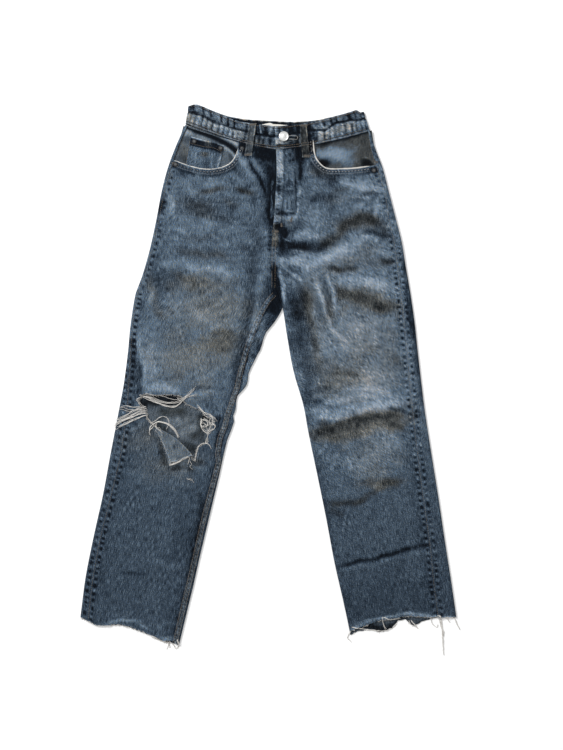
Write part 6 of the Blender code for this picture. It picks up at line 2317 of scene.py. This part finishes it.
class Strands:
    """Many thin tubes gathered into one mesh."""

    def __init__(self, sides=5):
        self.sides, self.points, self.faces, self.count = sides, [], [], 0

    def add(self, path, radius):
        path = np.asarray(path, float)
        ahead = np.gradient(path, axis=0)
        ahead /= np.maximum(np.linalg.norm(ahead, axis=1), 1e-9)[:, None]
        side = np.cross(ahead, (0.0, 0.05, 1.0))
        side /= np.maximum(np.linalg.norm(side, axis=1), 1e-9)[:, None]
        over = np.cross(side, ahead)
        radius = np.broadcast_to(radius, len(path))
        turn = np.linspace(0, 2 * math.pi, self.sides, endpoint=False)
        ring = path[:, None] + radius[:, None, None] * (
            np.cos(turn)[:, None] * side[:, None] + np.sin(turn)[:, None] * over[:, None]
        )
        ring[..., 2] = np.maximum(ring[..., 2], 0.02)
        index = self.count + np.arange(ring.shape[0] * self.sides).reshape(-1, self.sides)
        self.points.append(ring.reshape(-1, 3))
        self.faces += joined_rings(index).tolist() + [index[0][::-1].tolist(), index[-1].tolist()]
        self.count += ring.shape[0] * self.sides

    def build(self, name, material, slot):
        points = np.concatenate(self.points) * MM
        mesh = bpy.data.meshes.new(name)
        mesh.from_pydata(points, [], self.faces)
        mesh.materials.append(material)
        mesh.shade_smooth()
        give(mesh, "place", "FLOAT_VECTOR", points)
        obj = set_in_place(name, mesh)
        print(name, "has", len(self.faces), "faces")
        return obj


def laid(line, rise=0.5, hump=0.0, wobble=0.5, seed=0, step=1.6):
    """A thread along a line in plan: it rests on the surface, bridges hollows and humps up."""
    line = curve(line, step)
    k = np.arange(len(line))
    line = line + wobble * np.stack([noise(k / 3.1, 0, seed), noise(k / 2.7, 0, seed + 1)], -1)
    z = drop(line)
    for _ in range(3):
        z = np.maximum(z, np.convolve(np.pad(z, 1, mode="edge"), (0.25, 0.5, 0.25), "valid"))
    share = k / max(len(k) - 1, 1)
    z = z + rise + hump * np.sin(math.pi * share) + 0.3 * noise(k / 4.3, 0, seed + 2)
    return np.column_stack([line, z])


def plies(strands, line, count, radius, spread, seed, rise=0.5, hump=0.0):
    """Several threads that follow one line and part from one another towards their free end."""
    line = np.asarray(line, float)
    for ply in range(count):
        apart = np.linspace(0.25, 1.0, len(line))[:, None] * spread
        shift = np.array([noise(ply * 3.7, 0, seed), noise(ply * 3.7, 0, seed + 1)])
        bend = np.stack([noise(np.arange(len(line)) * 0.9 + ply * 5, 0, seed + 2),
                         noise(np.arange(len(line)) * 0.9 + ply * 5, 0, seed + 3)], -1)
        path = laid(line + apart * (0.8 * shift + 0.5 * bend), rise + 0.35 * ply, hump, 0.5, seed + ply)
        taper = 1 - 0.45 * np.linspace(0, 1, len(path)) ** 3
        strands.add(path, radius * taper)


# %% Loose threads of the knee and hems
KNEE_TOP = [
    [(-248, -39), (-237, -42), (-221, -50), (-204, -57), (-187, -61), (-175, -58), (-163, -46), (-152, -34),
     (-140, -24)],
    [(-245, -41), (-230, -48), (-214, -54), (-197, -60), (-180, -61), (-169, -53), (-156, -42), (-137, -37)],
    [(-238, -36), (-223, -39), (-204, -41), (-190, -46), (-176, -48), (-159, -41), (-145, -30)],
    [(-254, -47), (-242, -42), (-228, -44), (-211, -52), (-194, -55), (-176, -54), (-163, -48)],
    [(-235, -39), (-218, -45), (-200, -51), (-183, -51), (-169, -46), (-157, -39), (-142, -40)],
    [(-176, -44), (-170, -50), (-163, -44), (-153, -39), (-148, -32)],
]
KNEE_FAN = [
    [(-235, -65), (-247, -61), (-262, -61), (-276, -58), (-285, -60)],
    [(-237, -68), (-250, -67), (-268, -68), (-280, -65), (-288, -65)],
    [(-234, -71), (-245, -72), (-259, -77), (-276, -83), (-293, -92), (-301, -99)],
    [(-236, -74), (-247, -77), (-262, -83), (-280, -90), (-294, -100), (-293, -108)],
    [(-233, -75), (-244, -75), (-261, -81), (-280, -88), (-293, -88)],
    [(-237, -61), (-249, -64), (-262, -70), (-278, -80), (-293, -86), (-297, -83)],
    [(-235, -69), (-249, -71), (-266, -79), (-283, -88), (-297, -94), (-299, -100)],
    [(-236, -77), (-245, -80), (-259, -86), (-273, -94), (-287, -100), (-293, -103)],
    [(-239, -65), (-252, -69), (-269, -77), (-283, -83), (-293, -89)],
    [(-233, -79), (-242, -79), (-252, -83), (-266, -88), (-280, -96), (-288, -99)],
    [(-254, -48), (-250, -53), (-245, -60), (-237, -65)],
]
KNEE_CURLS = [
    [(-235, -80), (-229, -88), (-224, -91), (-218, -88), (-211, -82), (-203, -80), (-195, -83), (-192, -91),
     (-194, -100), (-197, -104)],
    [(-221, -96), (-224, -102), (-229, -106), (-230, -113), (-227, -117)],
    [(-214, -91), (-217, -98), (-214, -104), (-208, -107), (-204, -112)],
    [(-226, -92), (-218, -100), (-211, -102), (-207, -108)],
    [(-231, -84), (-226, -92), (-221, -94)],
]
KNEE_BRAID = [
    (-229, -108), (-227, -100), (-221, -94), (-212, -90), (-203, -91), (-194, -94), (-187, -99), (-180, -106),
    (-175, -115), (-173, -121),
]
KNEE_RIGHT = [
    [(-136, -58), (-130, -65), (-125, -71), (-118, -74), (-111, -77), (-103, -83), (-100, -90)],
    [(-136, -61), (-127, -69), (-121, -79), (-107, -80)],
    [(-130, -84), (-130, -99), (-124, -110), (-115, -112), (-107, -103)],
    [(-116, -110), (-118, -120), (-120, -129), (-114, -134), (-109, -142)],
    [(-118, -131), (-126, -132), (-134, -136), (-138, -146), (-141, -159), (-142, -166)],
    [(-151, -167), (-147, -172), (-150, -178), (-145, -184)],
    [(-158, -198), (-153, -201), (-148, -203), (-145, -207)],
    [(-156, -202), (-150, -200), (-145, -203)],
]
FLAP_FRINGE = [
    [(-191, -172), (-184, -170.5), (-175, -167), (-166, -162.5), (-156, -157.5)],
    [(-190, -174), (-182, -171.5), (-174, -168), (-164, -162.5), (-155, -158.5)],
    [(-157, -157), (-152.5, -159), (-152.5, -165), (-155, -171)],
]
RIGHT_HEM_THREADS = [
    [(-190, -513), (-193, -521), (-197, -528)],
    [(-176, -510), (-173, -520), (-177, -528), (-182, -527)],
    [(-190, -514), (-184, -519), (-179, -526)],
    [(-195, -512), (-192, -520), (-190, -526)],
    [(-226, -502), (-214, -508), (-204, -514), (-196, -517)],
    [(-220, -506), (-210, -512), (-200, -514), (-191, -518)],
]
LEFT_HEM_THREADS = [
    [(160, -493), (155, -500), (152, -507), (157, -511), (160, -515)],
    [(160, -486), (181, -490), (202, -492), (219, -494), (237, -490), (247, -480)],
    [(219, -466), (221, -480), (226, -490)],
    [(222, -467), (236, -472), (250, -470)],
    [(275, -473), (282, -482), (289, -490)],
    [(271, -474), (276, -482), (285, -486)],
    [(313, -466), (316, -479), (324, -486), (327, -481)],
    [(329, -463), (333, -476), (335, -489), (336, -500), (337, -511), (338, -528), (339, -541)],
    [(327, -463), (331, -476), (334, -487), (338, -498), (335, -509)],
    [(331, -464), (334, -478), (335, -492), (337, -505)],
    [(358, -466), (363, -479), (369, -492)],
    [(345, -466), (346, -472), (350, -478)],
]
KNEE_TANGLE = [
    [(-131, -90), (-127, -86), (-121, -88), (-117, -93), (-119, -99), (-125, -100), (-130, -96), (-128, -90),
     (-122, -86), (-115, -88)],
    [(-126, -69), (-120, -76), (-112, -78), (-106, -85), (-108, -92), (-102, -98), (-106, -105), (-114, -108),
     (-120, -112)],
    [(-129, -103), (-122, -96), (-116, -97), (-110, -91), (-103, -89)],
    [(-125, -82), (-117, -89), (-112, -96), (-113, -103), (-119, -107), (-126, -103)],
    [(-110, -83), (-114, -89), (-109, -97), (-104, -93), (-107, -87)],
    [(-131, -94), (-124, -93), (-119, -99), (-116, -107), (-109, -104)],
]

knee_threads = Strands()
for k, line in enumerate(KNEE_TOP):
    plies(knee_threads, line, 2 if k in (0, 1, 3) else 1, 0.42, 2.4, 200 + 11 * k, hump=1.0)
for k, line in enumerate(KNEE_FAN):
    plies(knee_threads, line, 2, 0.40, 3.8, 300 + 11 * k, rise=0.7, hump=0.8)
for k, line in enumerate(KNEE_CURLS):
    plies(knee_threads, line, 2, 0.38, 1.6, 400 + 11 * k, rise=1.0, hump=1.2)
plies(knee_threads, KNEE_BRAID, 5, 0.5, 2.2, 470, rise=1.0, hump=1.4)
for k, line in enumerate(KNEE_RIGHT):
    count, radius = (2, 0.42) if k < 5 else (1, 0.3)
    plies(knee_threads, line, count, radius, 1.8, 500 + 11 * k, rise=0.8, hump=0.7)
for k, line in enumerate(FLAP_FRINGE):
    plies(knee_threads, line, 3 if k < 2 else 2, 0.5, 1.1, 560 + 11 * k, rise=0.7, hump=0.2)
for k, line in enumerate(KNEE_TANGLE):
    plies(knee_threads, line, 2 if k < 2 else 1, 0.48, 1.2, 600 + 11 * k, rise=1.1, hump=0.8)
knee_threads = knee_threads.build("knee_threads", LOOSE_COTTON, "pale_denim")

hem_threads = Strands()
for k, line in enumerate(RIGHT_HEM_THREADS + LEFT_HEM_THREADS):
    plies(hem_threads, line, 3, 0.5, 1.7, 700 + 11 * k, rise=0.5, hump=0.5)
hem_threads = hem_threads.build("hem_threads", LOOSE_COTTON, "pale_denim")


# %% Frayed edges
def fray(strands, line, outward, seed, spacing=0.9, length=(1.2, 4.0), radius=0.17, level=None, highest=99.0):
    """Short hairs along an edge, pointing out of the cloth.  None grow where it lies above the
    highest level given, because another piece covers it there."""
    draw = np.random.default_rng(seed)
    line = curve(line, spacing)
    ahead = np.gradient(line, axis=0)
    ahead /= np.maximum(np.linalg.norm(ahead, axis=1), 1e-9)[:, None]
    out = outward * np.stack([-ahead[:, 1], ahead[:, 0]], -1)
    heights = drop(line - 0.8 * out) if level is None else np.full(len(line), level)
    for spot, way, z in zip(line, out, heights):
        if z > highest:
            continue
        turn = draw.normal(0, 0.55)
        reach = draw.uniform(*length) * (1.6 if draw.random() < 0.12 else 1.0)
        c, s = math.cos(turn), math.sin(turn)
        way = np.array([c * way[0] - s * way[1], s * way[0] + c * way[1]])
        bend = draw.normal(0, 0.35) * np.array([-way[1], way[0]])
        t = np.linspace(0, 1, 5)[:, None]
        plan = spot - 0.8 * way + reach * (t * way + t**2 * bend)
        fall = z - 0.15 - draw.uniform(0.0, 1.2) * t[:, 0] ** 2
        strands.add(np.column_stack([plan, fall]), radius * (1 - 0.5 * t[:, 0]))


def hem_line(side, back=False):
    """The raw edge of a hem in plan, from the outseam to the inseam, in millimetres."""
    table = LEGS[side]
    sections = Sections(table, [HEM])
    shares = np.linspace(0.01, 0.99, 50)
    rows = BACK_HEM[side] if back else (RIGHT_HEM if side == "right" else LEFT_HEM)
    a = shares * sections.width[0]
    line = sections.plan(a[None])[0] / MM
    if back:
        reach = hem_reach(rows, shares)
    else:
        start = (sections.outseam[0] - sections.outer_arc + sections.radius) / sections.width[0]
        reach = hem_reach(rows, np.clip((shares - start) / (1 - start), 0, 1))
    return line + sections.down[0] * reach[:, None]


frays = Strands(sides=3)
RIP_EDGE = ragged(KNEE_RIP, 1.6, 5)
fray(frays, RIP_EDGE, -1.0, 21, spacing=0.7, length=(1.5, 4.5), radius=0.2, highest=FLAP_LEVEL + 0.4)
for side, seed in (("right", 23), ("left", 27)):
    facing = -1.0 if side == "right" else 1.0
    fray(frays, hem_line(side), facing, seed, spacing=0.5, radius=0.22)
    fray(frays, hem_line(side, back=True), facing, seed + 1, spacing=0.6, radius=0.22, level=0.8)
flap_end = [(-147, -156), (-160, -163), (-176, -168), (-190, -171)]
flap_side = [(-191, -170), (-195, -156), (-198, -143), (-204, -130), (-210, -117), (-218, -105)]
fray(frays, flap_end, 1.0, 31, spacing=0.4, length=(1.0, 4.0), radius=0.24)
fray(frays, flap_side, 1.0, 33, spacing=0.9, length=(1.0, 3.2), radius=0.18)
frays = frays.build("frayed_edges", LOOSE_COTTON, "pale_denim")

# %% White rims of the pocket openings
rims = Strands(sides=8)
RIM_INSET, RIM_SINK = 1.2, 0.35
RIM_LINES = []
for edge, thickness, seed in ((RIGHT_EDGE, 0.8, 41), (LEFT_EDGE, 1.25, 43)):
    path = on_cloth(curve(edge, 1.0))
    RIM_LINES.append(path)
    inset = beside(edge, RIM_INSET)
    k = np.arange(len(path))
    worn = thickness + 0.35 * noise(k / 9, 0, seed) + 0.18 * noise(k / 2.3, 0, seed + 1)
    ends = smoothstep(0, 8, k) * smoothstep(len(k) - 1, len(k) - 14, k)
    z = drop(inset[np.minimum(k * len(inset) // len(k), len(inset) - 1)])
    rims.add(np.column_stack([path, z - RIM_SINK]), np.maximum(worn, 0.5) * (0.45 + 0.55 * ends))
pocket_rims = rims.build("pocket_rims", RIM_COTTON, "worn_denim")
rim_frays = Strands(sides=3)
for path, seed in zip(RIM_LINES, (51, 53)):
    fray(rim_frays, path, -1.0, seed, spacing=0.8, length=(0.8, 2.2), radius=0.16)
rim_frays = rim_frays.build("rim_frays", LOOSE_COTTON, "worn_denim")

# %% [markdown]
# ## The ridge of the seat seam
# Where the two halves meet under the seat, the felled edges stand out as a narrow ridge.  It
# closes the gap between the panels, and at the crotch it lies in the valley between the folds.

# %% Seat seam
SEAT_RIDGE = [
    (14, 436, 1.1), (15.5, 397, 1.1), (14, 355, 1.1), (11, 310, 1.1), (7, 260, 1.1), (5, 218, 1.1),
    (9.5, 192, 1.3), (15.5, 167, 1.45), (21, 148, 1.15), (27, 129.5, 0.85),
]
ridge = Strands(sides=8)
ridge.add(catmull(SEAT_RIDGE, np.linspace(0, len(SEAT_RIDGE) - 1, 120)), 0.8)
seat_ridge = ridge.build("seat_ridge", DENIM_FACE, "dark_denim")
RIDGE_WASH = (0.34, 0.0, 0.0, 1.0)
give(seat_ridge.data, "wash", "FLOAT_COLOR", np.tile(RIDGE_WASH, (len(seat_ridge.data.vertices), 1)))

# %% [markdown]
# ## The flat cut of every sheet
# A pattern cutter knows each piece by its flat shape.  Every wall of cloth here still carries its
# place on the flat cloth, so its cut is read back from that: the size of the rectangle round it
# along the flat cloth's axes, and the area inside its outline.  A list pairs each piece with the
# ones it lies on and with the threads, stitches and frayed edges that go with it, and the cut of
# each piece is printed.

def cut_of(piece):
    """Width and length of the flat cut, and its area, in metres.  The wall has two layers."""
    mesh = piece.data
    flat = np.empty(len(mesh.vertices) * 3, np.float32)
    mesh.attributes["place"].data.foreach_get("vector", flat)
    flat = flat.reshape(-1, 3)[:, :2].astype(float)
    corners = np.empty(len(mesh.loops), np.int32)
    mesh.loops.foreach_get("vertex_index", corners)
    starts = np.empty(len(mesh.polygons), np.int32)
    mesh.polygons.foreach_get("loop_start", starts)
    counts = np.diff(np.append(starts, len(corners)))
    owner = np.repeat(np.arange(len(starts)), counts)
    after = np.arange(len(corners)) + 1
    last = starts + counts - 1
    after[last] = starts
    start, end = flat[corners], flat[corners[after]]
    crossed = start[:, 0] * end[:, 1] - start[:, 1] * end[:, 0]
    area = np.abs(np.bincount(owner, crossed) / 2).sum() / 2
    width, length = np.ptp(flat, axis=0)
    return width, length, area


LAID_ON = [
    (front_right, [backs[0]],
     [knee_threads, frays, stitches_openings, stitches_edges, pocket_rims, rim_frays]),
    (front_left, [backs[2]], [stitches_front, stitches_fly, hem_threads]),
    (backs[0], [floor], [stitches_back, seat_ridge]), (backs[1], [floor], []),
    (backs[2], [floor], []), (backs[3], [floor], []),
    (waistband, [front_right, front_left], [bar_tacks, stitches_buttonhole]),
    (facing_right, [backs[0]], []), (facing_left, [backs[2]], []), (coin_pocket, [facing_right], []),
    (fly_shield, [front_right], []), (knee_flap, [front_right], []), (label, [waistband], []),
    (pockets[0], [floor], []), (pockets[1], [floor], []),
]
LAID_ON += [(loop, [waistband], []) for loop in loops.values()]
for piece, below, carried in LAID_ON:
    width, length, area = cut_of(piece)
    print(f"{piece.name}: {width / MM:.0f} by {length / MM:.0f} mm, {area * 1e4:.0f} cm2")
